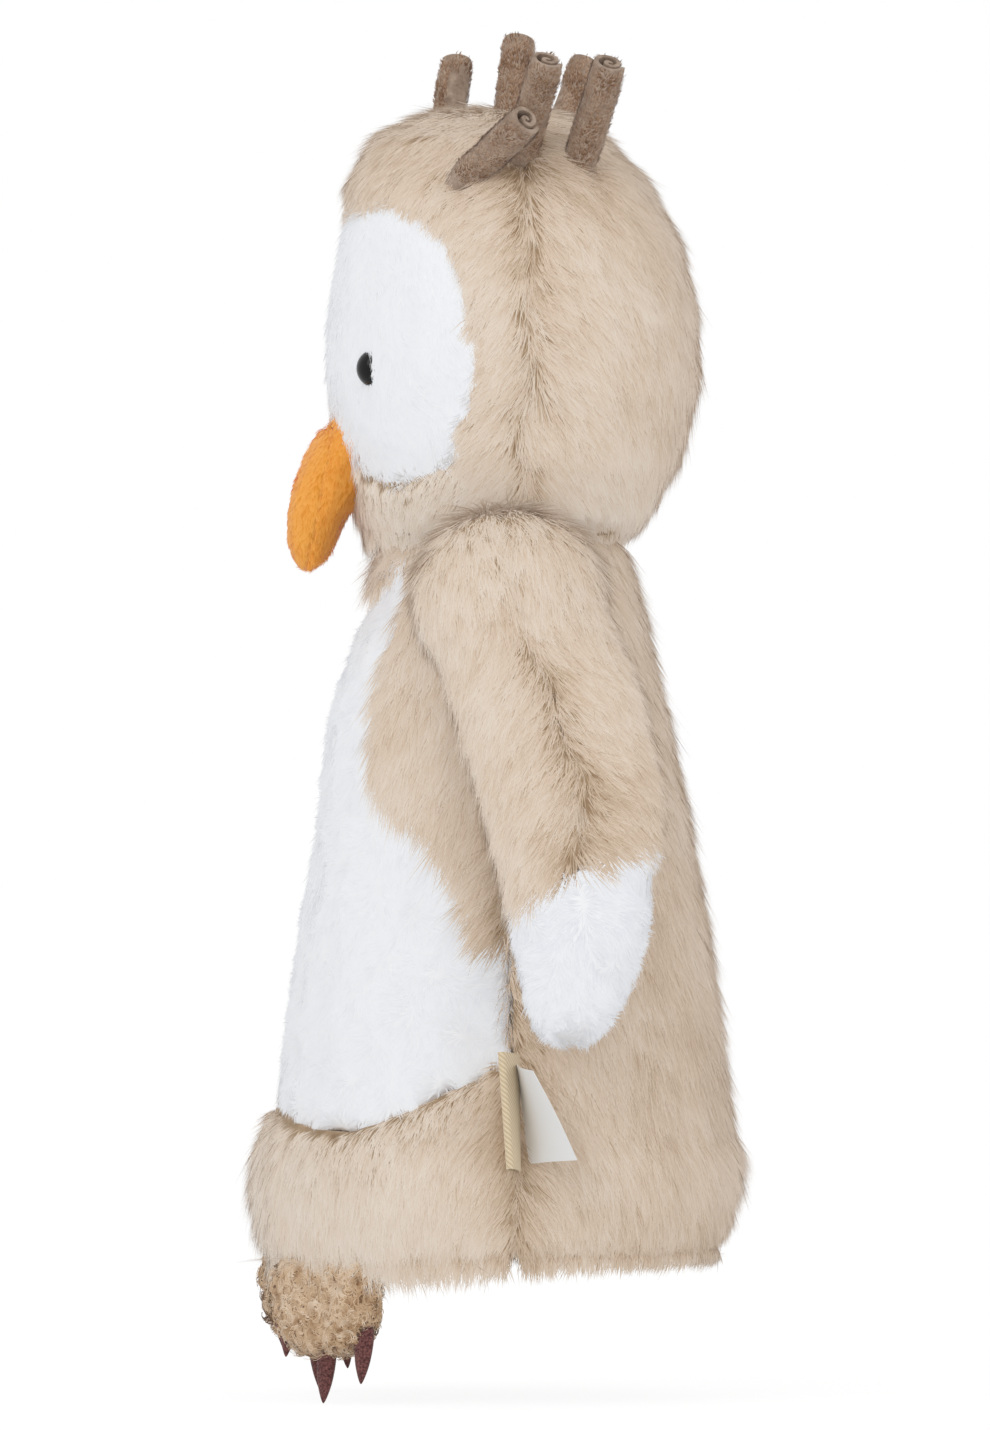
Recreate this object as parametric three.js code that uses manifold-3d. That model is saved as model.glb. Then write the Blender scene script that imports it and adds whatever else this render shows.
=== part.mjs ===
// Owl hand puppet, in millimetres. +Z is up, the owl looks along -Y and its left wing is on +X.
// The origin is the centre of the hand opening, in the plane of the hem.
import * as THREE from 'three';
import { mergeVertices } from 'three/addons/utils/BufferGeometryUtils.js';
import Module from 'manifold-3d';

const wasm = await Module();
wasm.setup();

// Clearances
const gap = 0.3; // between two pieces that are sewn together or touch
const runningGap = 1; // between two round surfaces that turn against each other

// Body: a cone of fur cloth that the hand fills, open at the hem
const bodyHeight = 183; // from the hem to the neck seam
const hemHalfWidth = 66.5;
const hemHalfDepth = 61.5;
const neckHalfWidth = 36;
const neckHalfDepth = 31;
const bodyBulge = 4.5; // swell of the sides halfway up
const bodyPower = 2.2; // 2 is an ellipse, more is squarer
const furWall = 6; // backing and pile together
const hemBandHeight = 34; // the band along the hem that puffs out
const hemPuff = 3;
const hemRounding = 2;
const hemRoundingHeight = 7;
const bellyRecess = 2.5; // the belly's pile is this much shorter than the fur's
const liningWall = 1;
const facingHeight = 22; // the turned-in edge inside the hem
const facingWall = 1.6;
const liningLift = 1; // from the facing's upper edge to the lining's lower edge

// The belly's edges: angle around the body from the front, in degrees, and height
const bellyTop = [
  [0, 171], [14, 177], [30, 181], [45, 182], [47, 128], [52, 119], [66, 114], [76, 101], [83, 84], [96, 78],
];
const bellyBottom = [[0, 37], [31, 32], [48, 31], [58, 34], [71, 40], [84, 46], [96, 54]];

// Neck: the head nods and turns on a ball-shaped collar
const neckPivotDepth = 13; // the pivot's depth below the neck seam
const neckCollar = 2; // how far the collar stands out past the neck's half depth
const neckHoleRadius = 20;
const nodForward = 25; // degrees
const nodBack = 20;
const rimRise = 8; // height of the head's lowest rim over the pivot
const nodRimRise = 10; // the same at the front and back, where the rim is a little higher

// Head
const headHalfHeight = 67;
const headHalfWidth = 51;
const headFront = 46; // reach forward of the head's own centre
const headBack = 46.5;
const headLean = 5.3; // the head's centre lies this far behind the neck's
const headSink = 8; // the head's form reaches this far below the pivot
const headPower = 2.2;
const seamBack = 4.5; // the side seam's plane
// How full the head is above and below its centre: 1 is a cone, 2 is an ellipse, more is squarer
const headFullness = {
  widthAbove: 2.3, widthBelow: 2, frontAbove: 4, frontBelow: 2.6, backAbove: 2.1, backBelow: 1.65,
};
const headLowest = -64; // the rings run between these angles from the level of the centre
const headHighest = 81;
const faceRecess = 1.5;
// The face's edges: angle around the head from the front, and share of the half height
const faceTop = [[0, 0.59], [16, 0.627], [34, 0.64], [54, 0.552], [66, 0.39], [72, 0.13], [74, -0.02]];
const faceBottom = [
  [0, -0.313], [11, -0.343], [24, -0.418], [45, -0.455], [66, -0.388], [72, -0.18], [74, -0.06],
];
const baseWall = 1.5;
const fingerRadius = 10.5;
const sleeveWall = 1;
const sleeveLength = 56;
const sleeveRoom = 1.5; // filling's hollow past the sleeve's end

// Eyes: a dome on a shank, with a washer behind the face
const eyeRadius = 5;
const eyeHeight = 3.4;
const eyeSpread = 25; // from the middle to each eye
const eyeDrop = 0.5; // below the head's centre
const shankRadius = 1.6;
const shankEnd = 2; // the shank's end past the washer
const washerRadius = 6;
const washerWall = 1;
const washerSeat = 1.2; // filling between the washer and the face's backing

// Beak: a stuffed cone that hangs from the face
const beakLength = 38;
const beakHalfWidth = 11;
const beakDrop = 13; // its top is this far below the head's centre
const beakWall = 2;
const beakSeamStart = 3; // the side seam starts this far before the face and leans forward
const beakSeamLean = 10; // degrees
// Down the beak: share of its length, reach of its front and of its back, share of its width
const beakShape = [
  [0, 3.2, -6, 0.6], [0.1, 5.6, -6, 0.86], [0.26, 9.2, -6, 1], [0.47, 12.6, -6, 0.95],
  [0.66, 14, 0.3, 0.84], [0.84, 14.1, 3.5, 0.65], [0.94, 12.8, 5, 0.48], [1, 10.8, 7, 0.28],
];

// Ear tufts: strips of plush rolled up tight
const rollRadius = 4.4;
const rollTurns = 2.25;
const rollPitch = 1.8; // from one layer to the next
const rollInside = 8; // length sewn into the head
const rollCore = 0.05; // the strip's innermost edge keeps this far off the middle
// Where each roll leaves the head, the way it points and its length outside
const rolls = [
  { name: 'left_front', x: 35, y: -9, lean: [1.28, 1, 1], length: 23.5 },
  { name: 'left_middle', x: 31, y: 4, lean: [0.55, 0.24, 1], length: 25.8 },
  { name: 'left_rear', x: 30, y: 19, lean: [0.6, 0.27, 1], length: 28 },
  { name: 'right_front', x: -30, y: -9, lean: [-0.5, 0.08, 1], length: 28.5 },
  { name: 'right_middle', x: -31, y: 4, lean: [-0.5, 0.19, 1], length: 34.5 },
  { name: 'right_rear', x: -30, y: 15, lean: [-0.5, 0.49, 1], length: 30.5 },
];

// Wings: pockets for a thumb and a finger
const shoulderBack = -1; // behind the middle of the body
const shoulderRadius = 22.5;
const shoulderHollow = 10; // the wing's hollow reaches this far above the shoulder's centre
const armholeRadius = 10;
const wingLength = 118; // from the shoulder's centre to the tip
const wingHalfWidth = 22.3;
const wingHalfThickness = 12.5;
const wingWallAcross = 4;
const wingWallAlong = 5;
const wingTipWall = 8;
const wingBow = 8.5; // the middle of the wing is bent this far to the rear
const wingBlunt = 0.55; // the thickness tapers as this power of the width
// Down the wing: share of its length, share of its half width
const wingShape = [
  [-1, 0.93], [0, 0.96], [0.25, 1], [0.46, 0.97], [0.57, 0.89], [0.68, 0.79],
  [0.79, 0.73], [0.88, 0.61], [0.945, 0.47], [0.985, 0.3], [1, 0.1],
];
const wingOffBody = 1.1;
const wingTiltBack = 7; // degrees
const mittDrop = 78; // from the shoulder to the mitt's edge, on the wing's middle line
const mittSlope = 20; // degrees, higher at the rear
const shoulderLiningWall = 1.5; // the bound edge of the wing's armhole
const wingLiningWall = 0.8;
const wingLiningStart = 13; // below the shoulder's centre

// Feet
const footHalfWidth = 20;
const footLength = 26;
const footHinge = 5.5; // below the hem
const footRootRadius = 5;
const footHalfThickness = 6.5;
const footTurn = 37; // degrees outwards from straight ahead
const footInset = 6.5; // from the hem's outer edge to the foot's middle
const footHang = { left: 0, right: 10 }; // degrees that each foot hangs to the rear
const footWall = 2.4;
const footPower = 2.6;
const footRounding = 0.75; // the lower edge is round, seen from the front, by this power
const footEndShare = 0.28; // and ends flat over this share of the foot's width
const footEdgeShare = 0.3; // the edge keeps this share of the thickness, squared
const clawSpacing = 14.6;
const clawHalfWidth = 3.6;
const clawHalfThickness = 2.2;
const clawLength = 12;
const clawInside = 5;
// Where each claw starts, above the foot's lower end
const claws = [
  { step: -1, name: 'inner', rise: 11.3 },
  { step: 0, name: 'middle', rise: -0.2 },
  { step: 1, name: 'outer', rise: 5.2 },
];
const clawRootShare = 0.7; // the sewn-in root is this share of the claw's width
const clawBend = 1.2; // the tip is bent this far forward
// Up the claw: share of its length, share of its width
const clawShape = [[1, 0.1], [0.88, 0.34], [0.6, 0.68], [0.25, 0.94], [0, 1]];

// Labels in the left side seam
const tagHeight = 30;
const tagReach = 12;
const tagCloth = 0.6;
const tagMiddle = 37; // height of the tag's middle
const labelHeight = 26;
const labelReach = 17;
const labelCloth = 0.5;
const labelLean = 50; // degrees towards the rear, at its lower edge
const labelTopLean = 16; // it twists to stand out at its upper edge
const labelSag = 3.5; // the outer upper corner hangs this much lower
const tagLean = -12;
const labelBehind = 1.9; // from the tag's seam line to the label's

// Fineness of the faceted surfaces
const bodySides = 20;
const bodyRings = 5;
const hemRings = 5;
const liningRings = 4;
const headSides = 20;
const headRings = 9;
const fillingRings = 6;
const wingSides = 12;
const ballSides = 20;
const pathSides = 30;
const tubeSides = 10;
const boreSides = 16;
const smallSides = 12;
const rollSides = 8; // for each turn of the spiral
const clawSides = 8;
const loopPoints = 3;
const labelRings = 4;
const footAngles = [90, 72, 50, 25];
const leastHalf = 0.4; // the least half thickness of a filling's end

const { degToRad, lerp, clamp } = THREE.MathUtils;
const pivot = new THREE.Vector3(0, 0, bodyHeight - neckPivotDepth);
const collarRadius = Math.hypot(neckHalfDepth + neckCollar, neckPivotDepth);
const headCentre = new THREE.Vector3(0, headLean, pivot.z + headHalfHeight - headSink);

// Turns a closed geometry into a solid
function solidOf(geometry) {
  geometry.deleteAttribute('normal');
  geometry.deleteAttribute('uv');
  const merged = mergeVertices(geometry, 1e-4);
  const corners = merged.index.array;
  const kept = [];
  for (let i = 0; i < corners.length; i += 3) {
    const [a, b, c] = [corners[i], corners[i + 1], corners[i + 2]];
    if (a !== b && b !== c && c !== a) kept.push(a, b, c);
  }
  const vertProperties = new Float32Array(merged.attributes.position.array);
  return new wasm.Manifold(new wasm.Mesh({ numProp: 3, vertProperties, triVerts: new Uint32Array(kept) }));
}

// Turns a solid back into a geometry
function geometryOf(solid) {
  const mesh = solid.getMesh();
  const geometry = new THREE.BufferGeometry();
  geometry.setAttribute('position', new THREE.BufferAttribute(mesh.vertProperties, 3));
  geometry.setIndex(new THREE.BufferAttribute(mesh.triVerts, 1));
  geometry.computeVertexNormals();
  return geometry;
}

function joined(solids) {
  return solids.reduce((all, solid) => all.add(solid));
}

// A closed skin over a stack of rings, each counter-clockwise as seen from the stack's end
function skin(rings) {
  const count = rings[0].length;
  const positions = rings.flat().flatMap((point) => point.toArray());
  const index = [];
  const at = (i, j) => i * count + (j % count);
  for (let i = 0; i + 1 < rings.length; i += 1) {
    for (let j = 0; j < count; j += 1) {
      index.push(at(i, j), at(i, j + 1), at(i + 1, j + 1));
      index.push(at(i, j), at(i + 1, j + 1), at(i + 1, j));
    }
  }
  const last = rings.length - 1;
  for (const end of [0, last]) {
    const centre = positions.length / 3;
    const middle = rings[end].reduce((sum, point) => sum.add(point), new THREE.Vector3()).divideScalar(count);
    positions.push(...middle.toArray());
    for (let j = 0; j < count; j += 1) {
      if (end === last) index.push(centre, at(end, j), at(end, j + 1));
      else index.push(centre, at(end, j + 1), at(end, j));
    }
  }
  const geometry = new THREE.BufferGeometry();
  geometry.setAttribute('position', new THREE.Float32BufferAttribute(positions, 3));
  geometry.setIndex(index);
  return geometry;
}

// A level ring with its own reach to the front (-Y) and to the back (+Y)
function levelRing(z, section, power, sides) {
  const ring = [];
  for (let i = 0; i < sides; i += 1) {
    const angle = (2 * Math.PI * i) / sides;
    const across = Math.cos(angle);
    const along = Math.sin(angle);
    const reach = along < 0 ? section.front : section.back;
    const x = section.halfWidth * Math.sign(across) * Math.abs(across) ** (2 / power);
    const y = section.middle + reach * Math.sign(along) * Math.abs(along) ** (2 / power);
    ring.push(new THREE.Vector3(x, y, z));
  }
  return ring;
}

function ball(centre, radius) {
  const geometry = new THREE.SphereGeometry(radius, ballSides, ballSides / 2);
  return solidOf(geometry.translate(centre.x, centre.y, centre.z));
}

function rodAlongZ(radius, low, high, centre = new THREE.Vector3()) {
  const geometry = new THREE.CylinderGeometry(radius, radius, high - low, boreSides).rotateX(Math.PI / 2);
  return solidOf(geometry.translate(centre.x, centre.y, (low + high) / 2));
}

function rodAlongX(radius, from, to, centre) {
  const length = Math.abs(to - from);
  const geometry = new THREE.CylinderGeometry(radius, radius, length, boreSides).rotateZ(Math.PI / 2);
  return solidOf(geometry.translate((from + to) / 2, centre.y, centre.z));
}

function block(low, high) {
  const size = high.clone().sub(low);
  const middle = high.clone().add(low).divideScalar(2);
  return solidOf(new THREE.BoxGeometry(size.x, size.y, size.z).translate(middle.x, middle.y, middle.z));
}

// All that lies before (-Y) or behind (+Y) a plane across the puppet
const far = 400;
function before(y) {
  return block(new THREE.Vector3(-far, -far, -far), new THREE.Vector3(far, y, far));
}
function behind(y) {
  return block(new THREE.Vector3(-far, y, -far), new THREE.Vector3(far, far, far));
}
function above(z) {
  return block(new THREE.Vector3(-far, -far, z), new THREE.Vector3(far, far, far));
}
function below(z) {
  return block(new THREE.Vector3(-far, -far, -far), new THREE.Vector3(far, far, z));
}

// Steps from low to high, both included
function steps(low, high, count) {
  return Array.from({ length: count + 1 }, (unused, i) => lerp(low, high, i / count));
}

// A straight-line reading between the listed points
function readList(list, at) {
  const next = Math.max(1, list.findIndex(([key]) => key >= at));
  const [a, va] = list[next - 1];
  const [b, vb] = list[next];
  return lerp(va, vb, clamp((at - a) / (b - a), 0, 1));
}

// A wedge around an upright axis between a lower and an upper edge, each given by its angle from
// the front, drawn in by margin all round. It runs from inside the radius to well outside it.
const marginFade = 40; // the sideways margin grows from nothing at the front to its full size here
function wedge(axis, top, bottom, radius, margin) {
  const angles = [...new Set([...top, ...bottom].map(([angle]) => angle))].sort((a, b) => a - b);
  const sweep = [...angles.slice(1).reverse().map((angle) => -angle), ...angles];
  const near = radius / 3;
  const past = radius * 2;
  const rings = sweep.map((angle) => {
    const low = readList(bottom, Math.abs(angle)) + margin;
    const high = readList(top, Math.abs(angle)) - margin;
    const turn = degToRad(angle) - (margin / radius) * clamp(angle / marginFade, -1, 1);
    const outwards = new THREE.Vector3(Math.sin(turn), -Math.cos(turn), 0);
    const point = (reach, z) => axis.clone().setZ(z).addScaledVector(outwards, reach);
    return [point(near, low), point(near, high), point(past, high), point(past, low)];
  });
  return solidOf(skin(rings));
}

// The body's half width at a height
function bodyHalfWidth(z) {
  return lerp(hemHalfWidth, neckHalfWidth, z / bodyHeight) + bodyBulge * Math.sin((Math.PI * z) / bodyHeight);
}

function bodySection(z, inset) {
  const swell = bodyBulge * Math.sin((Math.PI * z) / bodyHeight);
  const halfDepth = lerp(hemHalfDepth, neckHalfDepth, z / bodyHeight) + swell - inset;
  return { middle: 0, halfWidth: bodyHalfWidth(z) - inset, front: halfDepth, back: halfDepth };
}

// What the nodding head's rim passes through, outside the collar's ball
function neckSweep(radius) {
  const reach = 2 * hemHalfWidth;
  const turned = [[nodForward, nodRimRise], [0, rimRise], [-nodBack, nodRimRise]].map(([angle, rise]) => {
    const slab = new THREE.BoxGeometry(reach, reach, reach / 2).translate(0, 0, rise + reach / 4);
    return solidOf(slab.rotateX(degToRad(angle)).translate(0, 0, pivot.z));
  });
  return joined(turned).subtract(ball(pivot, radius));
}

// The body's form, drawn in by inset, from a lower level up
function bodyForm(inset, low, high = pivot.z + collarRadius) {
  const levels = innerLevels.filter((level) => level > low && level < high);
  const rings = [low, ...levels, high].map((z) => levelRing(z, bodySection(z, inset), bodyPower, bodySides));
  return solidOf(skin(rings)).subtract(neckSweep(collarRadius - inset));
}

const sideLevels = steps(hemBandHeight, pivot.z, bodyRings);
const innerLevels = steps(0, pivot.z, liningRings);

// How far the band along the hem stands out at a height, with its lower edge rounded off
function hemSwell(z) {
  const share = clamp(z / hemBandHeight, 0, 1);
  return hemPuff * Math.sin(Math.PI * share) - hemRounding * clamp(1 - z / hemRoundingHeight, 0, 1);
}

// The body's outer form, with the puffed band along the hem
function bodyOutside() {
  const hemLevels = steps(0, hemBandHeight, hemRings).slice(0, -1);
  const rings = [...hemLevels, ...sideLevels, pivot.z + collarRadius].map((z) => (
    levelRing(z, bodySection(z, -hemSwell(z)), bodyPower, bodySides)
  ));
  return solidOf(skin(rings)).subtract(neckSweep(collarRadius));
}

// Shoulders
const shoulderSide = bodyHalfWidth(pivot.z) + wingHalfThickness + wingOffBody;
const shoulder = new THREE.Vector3(shoulderSide, shoulderBack, pivot.z);

// The wings hang along the body's sides, at the angle that just clears them
const wingTiltOut = Math.max(...steps(wingLength / wingSides, wingLength, wingSides).map((drop) => (
  Math.atan((bodyHalfWidth(pivot.z - drop) - bodyHalfWidth(pivot.z)) / drop)
)));

const sides = { left: 1, right: -1 };
function shoulderOf(sign) {
  return new THREE.Vector3(sign * shoulder.x, shoulder.y, shoulder.z);
}

// Holes and hollows in the body for the neck and the wings
function bodyHollows() {
  const cuts = [rodAlongZ(neckHoleRadius, pivot.z, pivot.z + 2 * collarRadius)];
  for (const sign of Object.values(sides)) {
    const centre = shoulderOf(sign);
    cuts.push(ball(centre, shoulderRadius + runningGap));
    cuts.push(rodAlongX(armholeRadius, sign * neckHalfWidth / 3, centre.x, centre));
  }
  return joined(cuts);
}

const model = new THREE.Group();

function cloth(color, roughness = 0.95) {
  return new THREE.MeshStandardMaterial({ color, roughness, metalness: 0 });
}

function addPiece(name, geometry, material, parent = model) {
  const mesh = new THREE.Mesh(geometry, material);
  mesh.name = name;
  parent.add(mesh);
  return mesh;
}

const colours = {
  fur: '#d9c9b5',
  white: '#eef0f3',
  beak: '#f2a03a',
  beakBack: '#d98a2b',
  roll: '#8b7565',
  foot: '#b89b75',
  claw: '#54292a',
  eye: '#0a0a0b',
  washer: '#e6e2da',
  lining: '#cfc3b2',
  filling: '#f4f4f2',
  ribbon: '#d9c3a0',
  satin: '#f7f7f7',
};

// Body: the fur panels, the belly, the lining and the facing
function addBody() {
  const hollows = bodyHollows();
  const wall = bodyOutside().subtract(bodyForm(furWall, -gap)).subtract(hollows);
  const front = wall.intersect(before(-gap / 2));
  const axis = new THREE.Vector3();
  const fur = front.subtract(wedge(axis, bellyTop, bellyBottom, neckHalfWidth, 0));
  const split = (readList(bellyTop, 90) + readList(bellyBottom, 90)) / 2;
  addPiece('front_fur', geometryOf(fur.intersect(above(split))), cloth(colours.fur));
  addPiece('hem_front_fur', geometryOf(fur.intersect(below(split))), cloth(colours.fur));
  addPiece('back_fur', geometryOf(wall.intersect(behind(gap / 2))), cloth(colours.fur));

  const bellyWall = bodyForm(bellyRecess, 0).subtract(bodyForm(furWall, -gap));
  const belly = bellyWall.intersect(wedge(axis, bellyTop, bellyBottom, neckHalfWidth, gap)).subtract(hollows);
  addPiece('belly_panel', geometryOf(belly.intersect(before(-gap / 2))), cloth(colours.white));

  const inset = furWall + gap;
  const liningTop = pivot.z - nodRimRise;
  const lining = bodyForm(inset, facingHeight + liningLift, liningTop)
    .subtract(bodyForm(inset + liningWall, facingHeight, liningTop + gap)).subtract(hollows);
  addPiece('body_lining', geometryOf(lining), cloth(colours.lining));

  const facingRoom = bodyForm(inset + facingWall, -gap, facingHeight + gap);
  const facing = bodyForm(inset, 0, facingHeight).subtract(facingRoom);
  addPiece('hem_facing', geometryOf(facing), cloth(colours.lining));
}

function headSection(z, inset) {
  const rise = (z - headCentre.z) / (headHalfHeight - inset);
  const upper = rise > 0;
  const taper = (power) => Math.max(0, 1 - Math.abs(rise) ** power) ** (1 / power);
  return {
    middle: headLean,
    halfWidth: (headHalfWidth - inset) * taper(upper ? headFullness.widthAbove : headFullness.widthBelow),
    front: (headFront - inset) * taper(upper ? headFullness.frontAbove : headFullness.frontBelow),
    back: (headBack - inset) * taper(upper ? headFullness.backAbove : headFullness.backBelow),
  };
}

// The head's form, drawn in by inset, and kept off the turning path of the shoulders
function headForm(inset) {
  const count = inset < furWall ? headRings : fillingRings;
  const rings = steps(headLowest, headHighest, count).map((angle) => {
    const z = headCentre.z + (headHalfHeight - inset) * Math.sin(degToRad(angle));
    return levelRing(z, headSection(z, inset), headPower, headSides);
  });
  const path = Math.hypot(shoulder.x, shoulder.y);
  const margin = runningGap + Math.abs(shoulder.y) * Math.sin(degToRad(Math.max(nodForward, nodBack)));
  // Its flats lie outside the round path that the shoulders need
  const radius = (shoulderRadius + margin + inset) / Math.cos(Math.PI / tubeSides);
  const torus = new THREE.TorusGeometry(path, radius, tubeSides, pathSides);
  return solidOf(skin(rings)).subtract(solidOf(torus.translate(0, 0, pivot.z)));
}

// The point of the head's front surface at a place seen from the front, and the way it faces
function headFrontPoint(x, z, inset) {
  const surface = (px, pz) => {
    const section = headSection(pz, inset);
    const share = 1 - (Math.abs(px) / section.halfWidth) ** headPower;
    return new THREE.Vector3(px, section.middle - section.front * share ** (1 / headPower), pz);
  };
  const place = surface(x, z);
  const sideways = surface(x + gap, z).sub(place);
  const upwards = surface(x, z + gap).sub(place);
  return { place, facing: sideways.cross(upwards).normalize() };
}

// The height of the head's top surface above a point
function headTop(x, y, inset) {
  let low = headCentre.z;
  let high = headCentre.z + headHalfHeight - inset;
  while (high - low > gap / headHalfHeight) {
    const z = (low + high) / 2;
    const section = headSection(z, inset);
    const reach = y < section.middle ? section.front : section.back;
    const across = Math.abs(x) / section.halfWidth;
    const along = Math.abs(y - section.middle) / reach;
    if (across ** headPower + along ** headPower < 1) low = z;
    else high = z;
  }
  return low;
}

// A turned part: an outline of radius and height, closed on the axis
function turned(outline, sidesAround = smallSides) {
  const points = outline.map(([radius, height]) => new THREE.Vector2(radius, height));
  return new THREE.LatheGeometry(points, sidesAround).rotateX(Math.PI / 2);
}

// A group at a place, with its own +Z along a direction
function standing(place, direction) {
  const group = new THREE.Group();
  group.position.copy(place);
  group.quaternion.setFromUnitVectors(new THREE.Vector3(0, 0, 1), direction.clone().normalize());
  group.updateMatrix();
  return group;
}

// A solid made in a group's own frame, moved to where the group stands
function standingSolid(group, geometry) {
  return solidOf(geometry.clone().applyMatrix4(group.matrix));
}

// Eyes: each is one piece of plastic, with its shank through the face
const eyeGroups = {};
for (const [side, sign] of Object.entries(sides)) {
  const { place, facing } = headFrontPoint(sign * eyeSpread, headCentre.z - eyeDrop, faceRecess);
  eyeGroups[side] = standing(place.addScaledVector(facing, gap), facing);
}
// The washer is flat and the face curves, so its rim would touch first
const washerDepth = furWall - faceRecess + 2 * gap + washerSeat + washerRadius ** 2 / (2 * headHalfWidth);
const shankLength = washerDepth + washerWall + shankEnd;
function eyeOutline() {
  const dome = [0, 25, 50, 75].map((angle) => (
    [eyeRadius * Math.cos(degToRad(angle)), eyeHeight * Math.sin(degToRad(angle))]
  ));
  return [[0, -shankLength], [shankRadius, -shankLength], [shankRadius, 0], ...dome, [0, eyeHeight]];
}
const washerBore = shankRadius + gap;
function washerGeometry() {
  const low = -washerDepth - washerWall;
  const high = -washerDepth;
  const outline = [[washerBore, low], [washerRadius, low], [washerRadius, high], [washerBore, high]];
  return turned([...outline, outline[0]]);
}
// The room that the washer and the shank's end take in the filling
function washerPocket() {
  const low = -washerDepth - washerWall - gap;
  const end = -shankLength - gap;
  const outer = washerRadius + gap;
  return turned([[0, end], [washerBore, end], [washerBore, low], [outer, low], [outer, 0], [0, 0]]);
}

// Ear tufts: a flat strip rolled into a spiral
function rollOutline() {
  const stripWall = rollPitch - gap;
  const line = steps(0, rollTurns, Math.round(rollTurns * rollSides)).map((turn) => {
    const angle = 2 * Math.PI * turn;
    const radius = rollRadius - rollPitch * (rollTurns - turn);
    return { angle, outer: radius, inner: radius - stripWall };
  });
  const at = (radius, angle) => new THREE.Vector2(radius * Math.cos(angle), radius * Math.sin(angle));
  const outside = line.map(({ angle, outer }) => at(Math.max(outer, stripWall / 2), angle));
  const inside = line.map(({ angle, inner }) => at(Math.max(inner, rollCore), angle)).reverse();
  return [...outside, ...inside];
}
const rollGroups = rolls.map(({ name, x, y, lean, length }) => (
  { name, length, group: standing(new THREE.Vector3(x, y, headTop(x, y, 0)), new THREE.Vector3(...lean)) }
));
function rollHoles() {
  return joined(rollGroups.map(({ group, length }) => {
    const radius = rollRadius + gap;
    const hole = new THREE.CylinderGeometry(radius, radius, length + rollInside + gap, smallSides);
    return standingSolid(group, hole.rotateX(Math.PI / 2).translate(0, 0, (length - rollInside - gap) / 2));
  }));
}
function addRolls() {
  for (const { name, group, length } of rollGroups) {
    const strip = new THREE.ExtrudeGeometry(new THREE.Shape(rollOutline()), {
      depth: length + rollInside, steps: 1, bevelEnabled: false,
    });
    const form = geometryOf(solidOf(strip.translate(0, 0, -rollInside)));
    model.add(group);
    addPiece(`ear_roll_${name}`, form, cloth(colours.roll), group);
  }
}

// Beak: its form, drawn in by inset
const beakFace = headFront - faceRecess - headLean; // how far the face stands before the neck's middle
function beakForm(inset) {
  const top = headCentre.z - beakDrop;
  const rings = beakShape.slice().reverse().map(([share, front, back, width], i, all) => {
    const endInset = i === 0 ? inset : i === all.length - 1 ? -inset : 0;
    const halfDepth = Math.max((front - back) / 2 - inset, leastHalf);
    const section = {
      middle: -beakFace - (front + back) / 2,
      halfWidth: Math.max(beakHalfWidth * width - inset, leastHalf),
      front: halfDepth,
      back: halfDepth,
    };
    return levelRing(top - beakLength * share + endInset, section, 2, smallSides);
  });
  return solidOf(skin(rings));
}
// The side seam of the beak runs from its root down to its tip
function beakSeam(margin) {
  const slab = new THREE.BoxGeometry(far, far, far).translate(0, -far / 2 - margin, 0);
  slab.rotateX(-degToRad(beakSeamLean));
  return solidOf(slab.translate(0, -beakFace - beakSeamStart, headCentre.z - beakDrop));
}
function addBeak(head) {
  const outside = beakForm(0).subtract(head);
  const inside = beakForm(beakWall).subtract(head);
  const wall = outside.subtract(beakForm(beakWall));
  addPiece('beak_top', geometryOf(wall.intersect(beakSeam(gap / 2))), cloth(colours.beak));
  addPiece('beak_underside', geometryOf(wall.subtract(beakSeam(-gap / 2))), cloth(colours.beakBack));
  addPiece('beak_filling', geometryOf(beakForm(beakWall + gap).intersect(inside)), cloth(colours.filling));
}

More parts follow.
